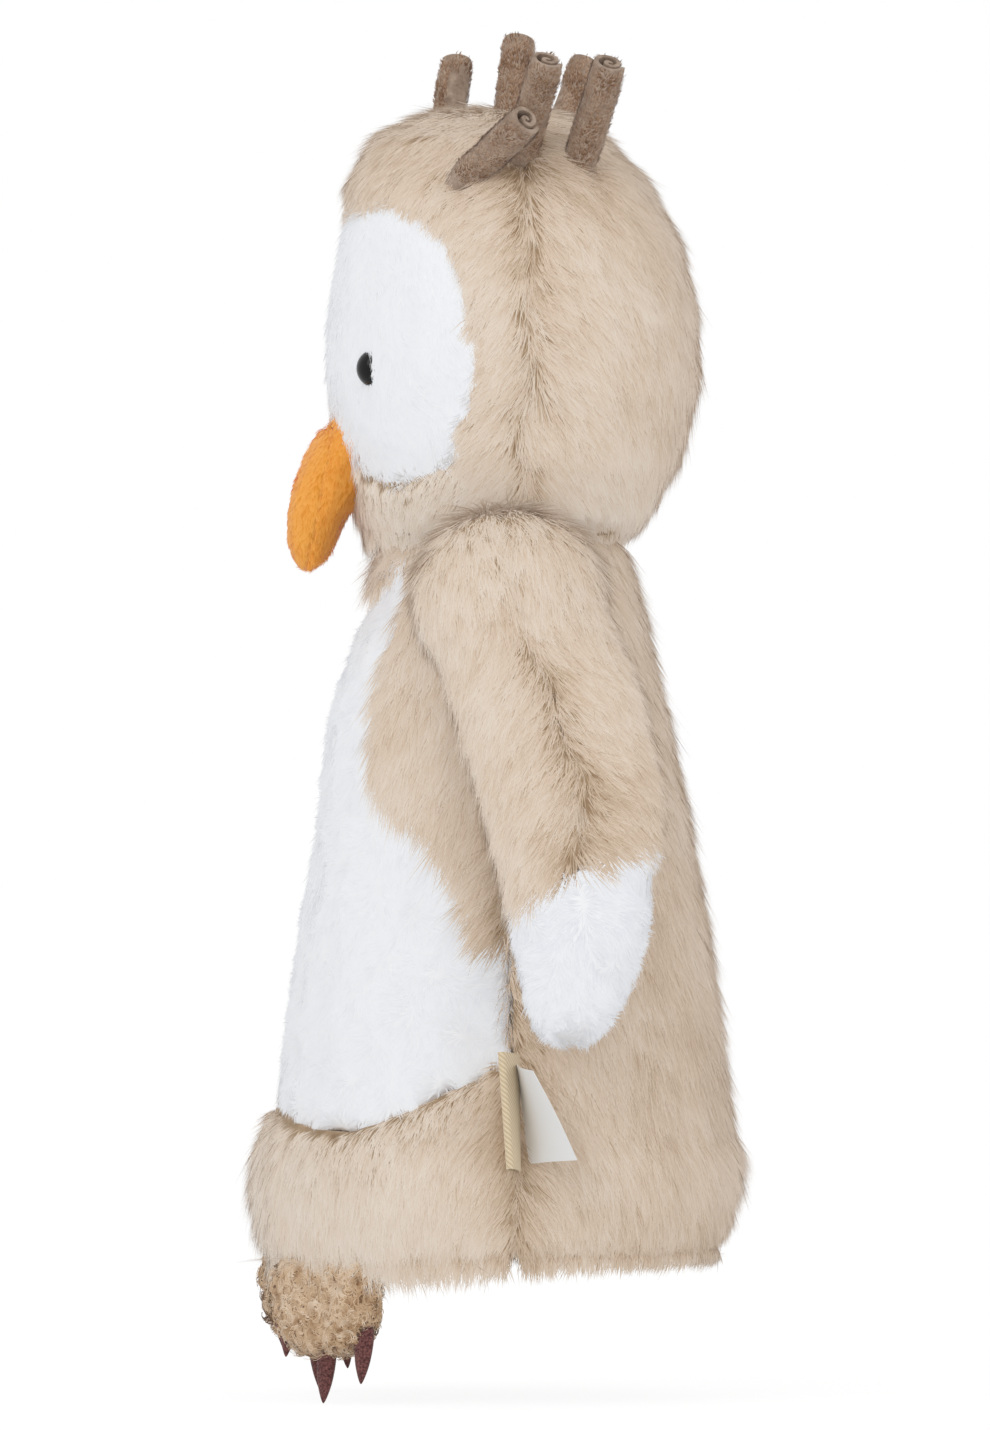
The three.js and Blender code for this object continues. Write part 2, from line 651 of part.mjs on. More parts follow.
// Head: the fur halves, the face, the filling with its finger pocket, and what closes it below
function addHead() {
  const cup = collarRadius + runningGap;
  const bore = rodAlongZ(fingerRadius + sleeveWall + gap, pivot.z, pivot.z + cup + sleeveLength + sleeveRoom);
  const holes = rollHoles();
  const wall = headForm(0).subtract(headForm(furWall)).subtract(ball(pivot, cup)).subtract(holes);
  const scaled = (list) => list.map(([angle, share]) => [angle, headCentre.z + share * headHalfHeight]);
  const front = wall.intersect(before(seamBack - gap / 2));
  const faceCut = (margin) => wedge(headCentre, scaled(faceTop), scaled(faceBottom), headHalfWidth, margin);
  addPiece('head_front_fur', geometryOf(front.subtract(faceCut(0))), cloth(colours.fur));
  addPiece('head_back_fur', geometryOf(wall.intersect(behind(seamBack + gap / 2))), cloth(colours.fur));

  const shankRoom = [[0, -shankLength], [washerBore, -shankLength], [washerBore, eyeHeight], [0, eyeHeight]];
  const shanks = joined(Object.values(eyeGroups).map((group) => standingSolid(group, turned(shankRoom))));
  const faceWall = headForm(faceRecess).subtract(headForm(furWall)).subtract(ball(pivot, cup));
  const face = faceWall.intersect(faceCut(gap));
  addPiece('face_panel', geometryOf(face.subtract(shanks)), cloth(colours.white));

  for (const [side, group] of Object.entries(eyeGroups)) {
    model.add(group);
    addPiece(`eye_${side}`, turned(eyeOutline()), cloth(colours.eye, 0.12), group);
    addPiece(`eye_washer_${side}`, geometryOf(solidOf(washerGeometry())), cloth(colours.washer, 0.5), group);
  }

  const inside = headForm(furWall + gap);
  const base = inside.intersect(ball(pivot, cup + baseWall)).subtract(ball(pivot, cup)).subtract(bore);
  addPiece('head_base', geometryOf(base), cloth(colours.lining));
  const pockets = Object.values(eyeGroups).map((group) => standingSolid(group, washerPocket()));
  const filling = inside.subtract(ball(pivot, cup + baseWall + gap)).subtract(bore).subtract(holes);
  addPiece('head_filling', geometryOf(filling.subtract(joined(pockets))), cloth(colours.filling));

  const low = pivot.z + cup;
  const high = low + sleeveLength;
  const outer = fingerRadius + sleeveWall;
  // The sleeve's end is half a flattened ball
  const end = (radius, top) => [0, 45, 90].map((angle) => (
    [radius * Math.cos(degToRad(angle)), top - (radius / 2) * (1 - Math.sin(degToRad(angle)))]
  ));
  const outline = [[fingerRadius, low], [outer, low], ...end(outer, high),
    ...end(fingerRadius, high - sleeveWall).reverse(), [fingerRadius, low]];
  addPiece('finger_sleeve', geometryOf(solidOf(turned(outline, boreSides))), cloth(colours.lining));

  addBeak(headForm(faceRecess - gap).add(headForm(-gap).subtract(faceCut(0))));
}

// A wing's tube in its own frame: it hangs along -Z, its flat faces look along X. It is drawn in
// across and along, ends short of the tip by endInset and starts at a share of the length. Inside
// there is a ring at every second place, and none at the very tip.
function wingTube(insetAcross, insetAlong, endInset, start) {
  const length = wingLength - endInset;
  const inner = wingShape.filter((place, i) => i % 2 === 0).slice(0, -1);
  const kept = (insetAlong > 0 ? inner : wingShape).filter(([share]) => share > start);
  const rings = [start, ...kept.map(([share]) => share)].reverse().map((share) => {
    const width = readList(wingShape, share);
    const depth = wingHalfWidth * width - insetAlong;
    const thickness = wingHalfThickness * width ** wingBlunt - insetAcross;
    const section = { middle: wingMiddle(share), halfWidth: thickness, front: depth, back: depth };
    return levelRing(-length * share, section, bodyPower, wingSides);
  });
  return solidOf(skin(rings));
}

// The wing's middle line, bent to the rear
function wingMiddle(share) {
  return wingBow * Math.sin(Math.PI * clamp(share, 0, 1));
}

// All that lies before the seam along the wing's outer face
function wingFront(margin) {
  const line = steps(-shoulderRadius / wingLength, 1, wingSides / 2).map((share) => (
    new THREE.Vector2(wingMiddle(share) - margin, -wingLength * share)
  ));
  const top = wingLength;
  const bottom = -2 * wingLength;
  const outline = [new THREE.Vector2(-far, top), new THREE.Vector2(-far, bottom),
    new THREE.Vector2(line.at(-1).x, bottom), ...line.toReversed(), new THREE.Vector2(line[0].x, top)];
  const slab = new THREE.ExtrudeGeometry(new THREE.Shape(outline), {
    depth: far, steps: 1, bevelEnabled: false,
  });
  return solidOf(slab.translate(0, 0, -far / 2).rotateX(Math.PI / 2).rotateZ(Math.PI / 2));
}

// A wing's root: round towards the body and above, flattened on the outer side
function wingRoot(sign) {
  const geometry = new THREE.SphereGeometry(shoulderRadius, ballSides, ballSides / 2);
  const flattened = solidOf(geometry.scale(wingHalfThickness / shoulderRadius, 1, 1));
  const half = new THREE.BoxGeometry(far, far, far).translate((-sign * far) / 2, 0, 0);
  return ball(new THREE.Vector3(), shoulderRadius).intersect(solidOf(half)).add(flattened);
}

// All that lies past the mitt's edge, in the wing's own frame
function mittSide(margin) {
  const slab = new THREE.BoxGeometry(far, far, far).translate(0, 0, -far / 2 - margin);
  return solidOf(slab.rotateX(degToRad(mittSlope)).translate(0, 0, -mittDrop));
}

function addWing(side, sign) {
  const centre = new THREE.Vector3();
  const group = new THREE.Group();
  group.position.copy(shoulderOf(sign));
  group.rotation.set(degToRad(wingTiltBack), -sign * wingTiltOut, 0);
  model.add(group);

  const edgeRadius = armholeRadius + shoulderLiningWall;
  const passage = rodAlongX(edgeRadius + gap, 0, -sign * 2 * shoulderRadius, centre);
  const outside = wingRoot(sign).add(wingTube(0, 0, 0, 0));
  const start = -shoulderHollow / wingLength;
  const inside = wingTube(wingWallAcross, wingWallAlong, wingTipWall, start);
  const wall = outside.subtract(inside).subtract(passage);
  const fur = wall.subtract(mittSide(-gap / 2));
  const front = geometryOf(fur.intersect(wingFront(gap / 2)));
  const back = geometryOf(fur.subtract(wingFront(-gap / 2)));
  addPiece(`wing_${side}_front_fur`, front, cloth(colours.fur), group);
  addPiece(`wing_${side}_back_fur`, back, cloth(colours.fur), group);
  addPiece(`wing_${side}_tip`, geometryOf(wall.intersect(mittSide(gap / 2))), cloth(colours.white), group);

  const inset = wingLiningWall + gap;
  const pocket = wingTube(wingWallAcross + gap, wingWallAlong + gap, wingTipWall + gap, start);
  const room = wingTube(wingWallAcross + inset, wingWallAlong + inset, wingTipWall + inset, start);
  const lining = pocket.subtract(room).intersect(below(-wingLiningStart));
  addPiece(`wing_${side}_lining`, geometryOf(lining), cloth(colours.lining), group);

  const outerEnd = Math.sqrt(shoulderRadius ** 2 - edgeRadius ** 2) - gap;
  const innerEnd = wingHalfThickness - wingWallAcross;
  const edge = rodAlongX(edgeRadius, -sign * outerEnd, -sign * innerEnd, centre)
    .subtract(rodAlongX(armholeRadius, -sign * 2 * shoulderRadius, 0, centre));
  addPiece(`shoulder_lining_${side}`, geometryOf(edge), cloth(colours.lining), group);
}

// A foot in its own frame: its hinge is on the X axis, it hangs along -Z and its front looks along -Y
function footForm(inset) {
  const drop = footLength - footHinge - footRootRadius - inset;
  const rounds = footAngles.map((angle) => {
    const rise = Math.cos(degToRad(angle));
    return {
      z: -footRootRadius - drop * Math.sin(degToRad(angle)),
      width: lerp(footEndShare, 1, rise ** footRounding),
      depth: (footHalfThickness - inset) * Math.sqrt(lerp(footEdgeShare, 1, rise)),
    };
  });
  const root = [0, 45, 90].map((angle) => ({
    z: (footRootRadius - inset) * Math.sin(degToRad(angle)),
    width: lerp(footEndShare, 1, Math.cos(degToRad(angle)) / 2 + 0.5),
    depth: Math.max((footRootRadius - inset) * Math.cos(degToRad(angle)), leastHalf),
  }));
  const middle = { z: -footRootRadius, width: 1, depth: footRootRadius - inset };
  const rings = [...rounds, middle, ...root].map(({ z, width, depth }) => {
    const section = { middle: 0, halfWidth: (footHalfWidth - inset) * width, front: depth, back: depth };
    return levelRing(z, section, footPower, smallSides);
  });
  return solidOf(skin(rings));
}

// A claw in its own frame: its root is at the origin and it points along -Z
function clawForm(margin) {
  const rings = clawShape.map(([share, width], i) => {
    const section = {
      middle: -clawBend * share,
      halfWidth: clawHalfWidth * width + margin,
      front: clawHalfThickness * width + margin,
      back: clawHalfThickness * width + margin,
    };
    return levelRing(-clawLength * share - (i === 0 ? margin : 0), section, 2, clawSides);
  });
  const rootThickness = clawHalfThickness * clawRootShare + margin;
  const rootSection = {
    middle: 0,
    halfWidth: clawHalfWidth * clawRootShare + margin,
    front: rootThickness,
    back: rootThickness,
  };
  rings.push(levelRing(clawInside + margin, rootSection, 2, clawSides));
  return skin(rings);
}

function hemPoint(degrees, inset) {
  const section = bodySection(0, inset);
  const angle = degToRad(degrees);
  const across = (Math.sin(angle) / section.halfWidth) ** bodyPower;
  const along = (Math.cos(angle) / section.front) ** bodyPower;
  const reach = (across + along) ** (-1 / bodyPower);
  return new THREE.Vector3(reach * Math.sin(angle), -reach * Math.cos(angle), 0);
}

function addFoot(side, sign) {
  const place = hemPoint(footTurn, footInset);
  const group = new THREE.Group();
  group.position.set(sign * place.x, place.y, -footHinge);
  group.rotation.z = sign * degToRad(footTurn);
  group.rotateX(degToRad(footHang[side]));
  model.add(group);

  const places = claws.map(({ step, rise }) => (
    new THREE.Vector3(sign * step * clawSpacing, 0, footHinge - footLength + rise)
  ));
  const pockets = joined(places.map(({ x, y, z }) => solidOf(clawForm(gap).translate(x, y, z))));
  const wall = footForm(0).subtract(footForm(footWall)).subtract(pockets);
  addPiece(`foot_${side}_top`, geometryOf(wall.intersect(before(-gap / 2))), cloth(colours.foot), group);
  addPiece(`foot_${side}_sole`, geometryOf(wall.intersect(behind(gap / 2))), cloth(colours.foot), group);
  const highest = Math.max(...places.map(({ z }) => z));
  const filling = footForm(footWall + gap).intersect(above(highest + clawInside + 2 * gap));
  addPiece(`foot_${side}_filling`, geometryOf(filling), cloth(colours.filling), group);
  claws.forEach(({ name }, i) => {
    const claw = geometryOf(solidOf(clawForm(0)));
    addPiece(`claw_${side}_${name}`, claw, cloth(colours.claw), group).position.copy(places[i]);
  });
}

// Labels: cloth that stands out of the left side seam, each on its own line of stitches
function addLabels() {
  const levels = steps(tagMiddle - tagHeight / 2, tagMiddle + tagHeight / 2, 2 * hemRings);
  const slope = (bodyHalfWidth(levels[0]) - bodyHalfWidth(levels.at(-1))) / tagHeight;
  const surface = Math.max(...levels.map((z) => bodyHalfWidth(z) + hemSwell(z) + slope * (z - tagMiddle)));
  const seam = new THREE.Group();
  seam.position.set(surface, 0, tagMiddle);
  seam.rotation.y = -Math.atan(slope);
  model.add(seam);

  const rootRadius = tagCloth + gap / 2;
  const loop = (radius) => {
    const path = new THREE.Path();
    path.absarc(tagReach - rootRadius, 0, radius, -Math.PI / 2, Math.PI / 2, false);
    path.absarc(0, 0, radius, Math.PI / 2, (3 * Math.PI) / 2, false);
    return path;
  };
  const ribbon = new THREE.Shape(loop(rootRadius).getPoints(loopPoints));
  ribbon.holes.push(new THREE.Path(loop(gap / 2).getPoints(loopPoints)));
  const ribbonForm = new THREE.ExtrudeGeometry(ribbon, { depth: tagHeight, steps: 1, bevelEnabled: false });
  const tag = addPiece('loop_tag', ribbonForm.translate(0, 0, -tagHeight / 2), cloth(colours.ribbon), seam);
  tag.position.x = rootRadius + gap;
  tag.rotation.z = degToRad(tagLean);

  const half = labelCloth / 2;
  const corners = [[-half, -half], [labelReach - half, -half], [labelReach - half, half], [-half, half]];
  const flap = steps(0, 1, labelRings).map((share) => {
    const lean = degToRad(lerp(labelLean, labelTopLean, share));
    return corners.map(([out, across]) => {
      const sag = (labelSag * share * out) / labelReach;
      const point = new THREE.Vector3(out, across, labelHeight * (share - 1 / 2) - sag);
      return point.applyAxisAngle(new THREE.Vector3(0, 0, 1), lean);
    });
  });
  const label = addPiece('care_label', geometryOf(solidOf(skin(flap))), cloth(colours.satin, 0.5), seam);
  label.position.set(labelCloth + gap, labelBehind, 0);
}

addBody();
addHead();
addRolls();
for (const [side, sign] of Object.entries(sides)) {
  addWing(side, sign);
  addFoot(side, sign);
}
addLabels();

export default model;
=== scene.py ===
import math
from functools import partial

import bpy
import numpy as np
from mathutils import Matrix, Vector, kdtree


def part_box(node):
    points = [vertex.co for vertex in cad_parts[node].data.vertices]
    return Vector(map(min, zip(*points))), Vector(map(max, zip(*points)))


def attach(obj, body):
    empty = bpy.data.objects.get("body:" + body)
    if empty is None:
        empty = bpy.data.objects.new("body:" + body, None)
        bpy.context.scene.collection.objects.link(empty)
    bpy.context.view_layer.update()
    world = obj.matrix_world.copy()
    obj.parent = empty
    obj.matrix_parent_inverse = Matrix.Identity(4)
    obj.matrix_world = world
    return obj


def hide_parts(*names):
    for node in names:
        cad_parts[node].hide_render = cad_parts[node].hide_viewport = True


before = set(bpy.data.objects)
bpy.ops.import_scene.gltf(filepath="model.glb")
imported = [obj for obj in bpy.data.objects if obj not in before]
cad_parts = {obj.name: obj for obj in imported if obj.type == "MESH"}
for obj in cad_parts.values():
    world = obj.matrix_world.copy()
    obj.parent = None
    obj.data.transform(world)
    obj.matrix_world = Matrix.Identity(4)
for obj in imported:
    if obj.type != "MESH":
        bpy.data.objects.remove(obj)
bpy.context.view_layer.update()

MM = 0.001

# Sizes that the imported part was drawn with, in millimetres
BODY_HEIGHT = 183
HEM_HALF_WIDTH = 66.5
HEM_HALF_DEPTH = 61.5
NECK_HALF_WIDTH = 36
BODY_BULGE = 4.5
PIVOT = np.array([0, 0, 170.0])
COLLAR_RADIUS = 35.47
HEAD_CENTRE = np.array([0, 5.3, 229.0])
HEAD_HALF_SIZE = np.array([51.0, 46.0, 67.0])
HEAD_SEAM = 4.5
SHOULDER = np.array([52.763, -1, 170.0])
SHOULDER_RADIUS = 22.5
WING_LENGTH = 118
WING_HALF_WIDTH = 22.3
WING_HALF_THICKNESS = 12.5
WING_BOW = 8.5
WING_TILT_BACK = 7
SIDES = {"left": 1, "right": -1}


def linear(hex_colour):
    """An sRGB hex colour in the linear values that the shader works with."""
    parts = [int(hex_colour[i : i + 2], 16) / 255 for i in (1, 3, 5)]
    return tuple(c / 12.92 if c <= 0.04045 else ((c + 0.055) / 1.055) ** 2.4 for c in parts) + (1.0,)


# Materials


def add_node(tree, kind, settings=None, links=None):
    """Adds a node. Settings fill its properties or sockets, and links join other outputs to its inputs."""
    node = tree.nodes.new(kind)
    for key, value in (settings or {}).items():
        if isinstance(key, str) and hasattr(node, key):
            setattr(node, key, value)
        else:
            node.inputs[key].default_value = value
    for key, (source, output) in (links or {}).items():
        tree.links.new(source.outputs[output], node.inputs[key])
    return node


def shaded(name, settings):
    """A new material with one surface shader."""
    material = bpy.data.materials.new(name)
    material.use_nodes = True
    tree = material.node_tree
    tree.nodes.clear()
    shader = add_node(tree, "ShaderNodeBsdfPrincipled", settings)
    add_node(tree, "ShaderNodeOutputMaterial", links={"Surface": (shader, "BSDF")})
    return material, tree, shader


def ramp(tree, factor, stops):
    """A colour ramp with stops of place and hex colour."""
    node = add_node(tree, "ShaderNodeValToRGB", links={"Fac": factor})
    elements = node.color_ramp.elements
    while len(elements) < len(stops):
        elements.new(0.5)
    for element, (place, colour) in zip(elements, stops):
        element.position = place
        element.color = linear(colour)
    return node


def fibre(name, along, tints):
    """Pile fibre. Its colour runs from root to tip up the strand's own map, and the tint of its lock is read
    across the map. The strands throw no shadow, so where a pile's colour darkens towards the roots, that is
    painted shade deep in the pile."""
    material, tree, shader = shaded(
        name,
        {"Roughness": 0.75, "Sheen Weight": 0.2, "Sheen Roughness": 0.5, "Specular IOR Level": 0.2},
    )
    place = add_node(tree, "ShaderNodeUVMap", {"uv_map": "OFBake"})
    parts = add_node(tree, "ShaderNodeSeparateXYZ", links={"Vector": (place, "UV")})
    length = ramp(tree, (parts, "Y"), along)
    tint = ramp(tree, (parts, "X"), tints)
    mixed = add_node(
        tree,
        "ShaderNodeMix",
        {"data_type": "RGBA", "blend_type": "MULTIPLY", 0: 1.0},
        {6: (length, "Color"), 7: (tint, "Color")},
    )
    tree.links.new(mixed.outputs[2], shader.inputs["Base Color"])
    return material


def mottled(name, low, high, patch_mm, grain_mm, settings, bump_mm=0.3, spread=(0.35, 0.65)):
    """A surface whose colour drifts in patches, with a fine grain that stands out a little."""
    material, tree, shader = shaded(name, settings)
    place = add_node(tree, "ShaderNodeTexCoord")
    patches = add_node(
        tree,
        "ShaderNodeTexNoise",
        {"Scale": 1 / (patch_mm * MM), "Detail": 6.0, "Roughness": 0.6},
        {"Vector": (place, "Object")},
    )
    colour = ramp(tree, (patches, "Fac"), [(spread[0], low), (spread[1], high)])
    tree.links.new(colour.outputs["Color"], shader.inputs["Base Color"])
    grain = add_node(
        tree,
        "ShaderNodeTexNoise",
        {"Scale": 1 / (grain_mm * MM), "Detail": 3.0},
        {"Vector": (place, "Object")},
    )
    bump = add_node(
        tree, "ShaderNodeBump", {"Strength": 0.6, "Distance": bump_mm * MM}, {"Height": (grain, "Fac")}
    )
    tree.links.new(bump.outputs["Normal"], shader.inputs["Normal"])
    return material


def woven(name, low, high, thread_mm, settings, diagonal=False):
    """A cloth of crossed threads, read from the piece's own map in millimetres. A twill's ribs run aslant."""
    material, tree, shader = shaded(name, settings)
    place = add_node(tree, "ShaderNodeUVMap", {"uv_map": "threads"})
    turned = add_node(
        tree,
        "ShaderNodeMapping",
        {"Rotation": (0, 0, math.radians(45 if diagonal else 0)), "Scale": (1 / thread_mm,) * 3},
        {"Vector": (place, "UV")},
    )
    across = add_node(
        tree,
        "ShaderNodeTexWave",
        {"bands_direction": "X", "Scale": 0.5, "Distortion": 0.4},
        {"Vector": (turned, "Vector")},
    )
    along = add_node(
        tree,
        "ShaderNodeTexWave",
        {"bands_direction": "Y", "Scale": 0.17 if diagonal else 0.5, "Distortion": 0.4},
        {"Vector": (turned, "Vector")},
    )
    both = add_node(
        tree, "ShaderNodeMath", {"operation": "MULTIPLY"}, {0: (across, "Fac"), 1: (along, "Fac")}
    )
    colour = ramp(tree, (both, "Value"), [(0.0, low), (0.8, high)])
    tree.links.new(colour.outputs["Color"], shader.inputs["Base Color"])
    bump = add_node(
        tree, "ShaderNodeBump", {"Strength": 0.5, "Distance": 0.1 * MM}, {"Height": (both, "Value")}
    )
    tree.links.new(bump.outputs["Normal"], shader.inputs["Normal"])
    return material


# Long acrylic pile: matt, paler and thinner towards the tips, and painted darker towards the roots as painted
# shade deep in the pile
LONG_PILE = fibre(
    "long_acrylic_pile",
    [(0.0, "#7C6148"), (0.2, "#B39C82"), (0.5, "#E2D4C5"), (1.0, "#F2EBE3")],
    [(0.0, "#C0AB90"), (0.5, "#F4E9DD"), (1.0, "#FFFEFC")],
)
# Short polyester plush: dense and white, nearly even, with a faint painted shade towards the roots
WHITE_PILE = fibre(
    "short_polyester_plush",
    [(0.0, "#EFF0F3"), (0.5, "#F6F7F9"), (1.0, "#F9FAFC")],
    [(0.0, "#F0F1F5"), (0.5, "#FBFCFE"), (1.0, "#FFFFFF")],
)
# Velboa, a plush with a nap under 1 mm that was brushed one way. Its nap is painted darker towards the roots,
# as painted shade in the nap
BEAK_NAP = fibre(
    "orange_velboa_nap",
    [(0.0, "#DC8C2A"), (0.4, "#F4A440"), (1.0, "#FFBC62")],
    [(0.0, "#CC8630"), (0.5, "#F8E2C4"), (1.0, "#FFFFFF")],
)
# The taupe nap is also painted darker towards the roots, as painted shade in the nap
ROLL_NAP = fibre(
    "taupe_velboa_nap",
    [(0.0, "#6A5444"), (0.5, "#9E8470"), (1.0, "#D0B8A2")],
    [(0.1, "#A8907C"), (0.5, "#E2D4C6"), (0.9, "#FFFFFF")],
)
# Curled acrylic pile, as on lambskin cloth. It is painted dark towards the roots, as painted shade between
# the curls
CURL_PILE = fibre(
    "curled_acrylic_pile",
    [(0.0, "#6E543E"), (0.35, "#B89C80"), (1.0, "#F0DEC8")],
    [(0.0, "#BCA284"), (0.5, "#F0E2D0"), (1.0, "#FFFFFF")],
)
CLOTH = {"Roughness": 0.95, "Sheen Weight": 0.15, "Specular IOR Level": 0.2}
# The beige ground is painted darker than its pile, as painted shade under the pile
LONG_GROUND = mottled("knitted_ground_beige", "#8F7558", "#B09678", 9, 0.8, CLOTH)
WHITE_GROUND = mottled("knitted_ground_white", "#F1F2F5", "#FAFBFD", 9, 0.9, CLOTH, bump_mm=0.1)
BEAK_GROUND = mottled("knitted_ground_orange", "#E08C28", "#F2A03A", 6, 0.5, CLOTH)
ROLL_GROUND = mottled("knitted_ground_taupe", "#8A7565", "#B5A08E", 3, 0.4, CLOTH)
# The tan ground is painted dark, as painted shade under the curls
CURL_GROUND = mottled("knitted_ground_tan", "#684E38", "#94775A", 4, 0.8, CLOTH)
# Suedette claws: dark brown red, with paler fibres that catch the light
SUEDETTE = mottled(
    "dark_suedette", "#431D1E", "#8A5752", 0.55, 0.3, {"Roughness": 0.85, "Sheen Weight": 0.1},
    bump_mm=0.2, spread=(0.4, 0.66),
)
# Acrylic safety eye: black through and through, cast with a gloss
EYE_PLASTIC, _, _ = shaded(
    "black_cast_acrylic", {"Base Color": linear("#050506"), "Roughness": 0.08, "Specular IOR Level": 0.25}
)
# Polypropylene washer: milky and slightly waxy
WASHER_PLASTIC = mottled("milky_polypropylene", "#DDD9D0", "#ECE9E2", 3, 0.4, {"Roughness": 0.45}, 0.02)
# Woven polyester lining: thin and a little shiny
LINING_CLOTH = mottled(
    "polyester_lining", "#C5B8A6", "#D8CDBD", 12, 0.6, {"Roughness": 0.7, "Sheen Weight": 0.2}, bump_mm=0.08
)
# Polyester fibrefill: white and lumpy
FILLING_FIBRE = mottled("polyester_filling", "#ECECEA", "#FAFAF8", 8, 2.5, CLOTH, bump_mm=1.2)
# Cotton twill tape: matt, with ribs aslant
RIBBON_CLOTH = woven(
    "cotton_twill_ribbon", "#CDB690", "#F4E7D0", 0.5, {"Roughness": 0.85, "Sheen Weight": 0.15}, diagonal=True
)
# Polyester satin: smooth, with a soft shine
SATIN_CLOTH = woven("polyester_satin", "#EDEDEC", "#FBFBFB", 0.25, {"Roughness": 0.45, "Sheen Weight": 0.1})


# Shaping


def only(piece):
    """Selects this piece and nothing else."""
    bpy.ops.object.select_all(action="DESELECT")
    piece.select_set(True)
    bpy.context.view_layer.objects.active = piece


def editing(piece, *steps):
    """Runs edit mode steps on all of a piece's mesh."""
    only(piece)
    bpy.ops.object.mode_set(mode="EDIT")
    bpy.ops.mesh.select_all(action="SELECT")
    for step in steps:
        step()
    bpy.ops.object.mode_set(mode="OBJECT")


def apply_modifier(piece, kind, **settings):
    modifier = piece.modifiers.new(kind.lower(), kind)
    for key, value in settings.items():
        setattr(modifier, key, value)
    only(piece)
    bpy.ops.object.modifier_apply(modifier=modifier.name)


def smooth_shading(piece, angle=None):
    only(piece)
    if angle is None:
        bpy.ops.object.shade_smooth()
    else:
        bpy.ops.object.shade_smooth_by_angle(angle=math.radians(angle))


def node_copy(node_name, piece_name):
    """A piece with a node's own form, its loose triangles merged."""
    piece = bpy.data.objects.new(piece_name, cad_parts[node_name].data.copy())
    bpy.context.scene.collection.objects.link(piece)
    piece.data.materials.clear()
    editing(piece, lambda: bpy.ops.mesh.remove_doubles(threshold=0.005 * MM))
    return piece


def softened(node_name, piece_name, voxel, rounds):
    """The node's form with a fine even mesh and its edges rounded, as stuffed or thick cloth is."""
    piece = node_copy(node_name, piece_name)
    apply_modifier(piece, "REMESH", mode="VOXEL", voxel_size=voxel * MM)
    apply_modifier(piece, "SMOOTH", factor=0.5, iterations=rounds)
    smooth_shading(piece)
    return piece


def finished(piece, nodes, body, material=None):
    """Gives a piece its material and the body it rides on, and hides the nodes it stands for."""
    if material:
        piece.data.materials.clear()
        piece.data.materials.append(material)
    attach(piece, body)
    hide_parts(*nodes)
    return piece


def mesh_points(piece):
    """A mesh's points in millimetres, and its normals."""
    mesh = piece.data
    points = np.empty(len(mesh.vertices) * 3)
    mesh.vertices.foreach_get("co", points)
    normals = np.empty(len(mesh.vertices) * 3, np.float32)
    mesh.vertices.foreach_get("normal", normals)
    return points.reshape(-1, 3) / MM, normals.reshape(-1, 3).astype(float)


def set_points(piece, points):
    piece.data.vertices.foreach_set("co", (points * MM).astype(np.float32).ravel())
    piece.data.update()


def unit(vectors):
    return vectors / np.maximum(np.linalg.norm(vectors, axis=1), 1e-9)[:, None]


def waves(points, size, seed):
    """A smooth, uneven reading between -1 and 1, with hills about a size apart."""
    rng = np.random.default_rng(seed)
    total = np.zeros(len(points))
    for _ in range(5):
        direction = rng.normal(size=3)
        direction *= 2 * math.pi / size / np.linalg.norm(direction)
        total += np.sin(points @ direction + rng.random() * 2 * math.pi)
    return np.clip(total / 2.4, -1, 1)


def nearest_of(places, points):
    """Which of the places is nearest to each point, and how far it is."""
    tree = kdtree.KDTree(len(places))
    for i, place in enumerate(places):
        tree.insert(place, i)
    tree.balance()
    found = [tree.find(point) for point in points]
    return np.array([hit[1] for hit in found], int), np.array([hit[2] for hit in found])


def rise(value, low, high):
    """0 below low, 1 above high and a straight line between."""
    return np.clip((value - low) / (high - low), 0, 1)


# Pile


def scatter(piece, outside, density, rng, least=0.3):
    """Random roots on a piece's outer skin, so many to a square millimetre, and which way is out."""
    mesh = piece.data
    mesh.calc_loop_triangles()
    corners = np.empty(len(mesh.loop_triangles) * 3, np.int32)
    mesh.loop_triangles.foreach_get("vertices", corners)
    corners = corners.reshape(-1, 3)
    points, normals = mesh_points(piece)
    a, b, c = (points[corners[:, i]] for i in range(3))
    cross = np.cross(b - a, c - a)
    area = np.linalg.norm(cross, axis=1) / 2
    shown = outside((a + b + c) / 3, unit(cross)) > least
    chosen = np.repeat(np.arange(len(corners)), rng.poisson(area * density * shown))
    u, v = rng.random(len(chosen)), rng.random(len(chosen))
    flip = u + v > 1
    u[flip], v[flip] = 1 - u[flip], 1 - v[flip]
    weights = np.stack([1 - u - v, u, v], axis=1)[:, :, None]
    roots = np.sum(points[corners[chosen]] * weights, axis=1)
    return roots, unit(np.sum(normals[corners[chosen]] * weights, axis=1))


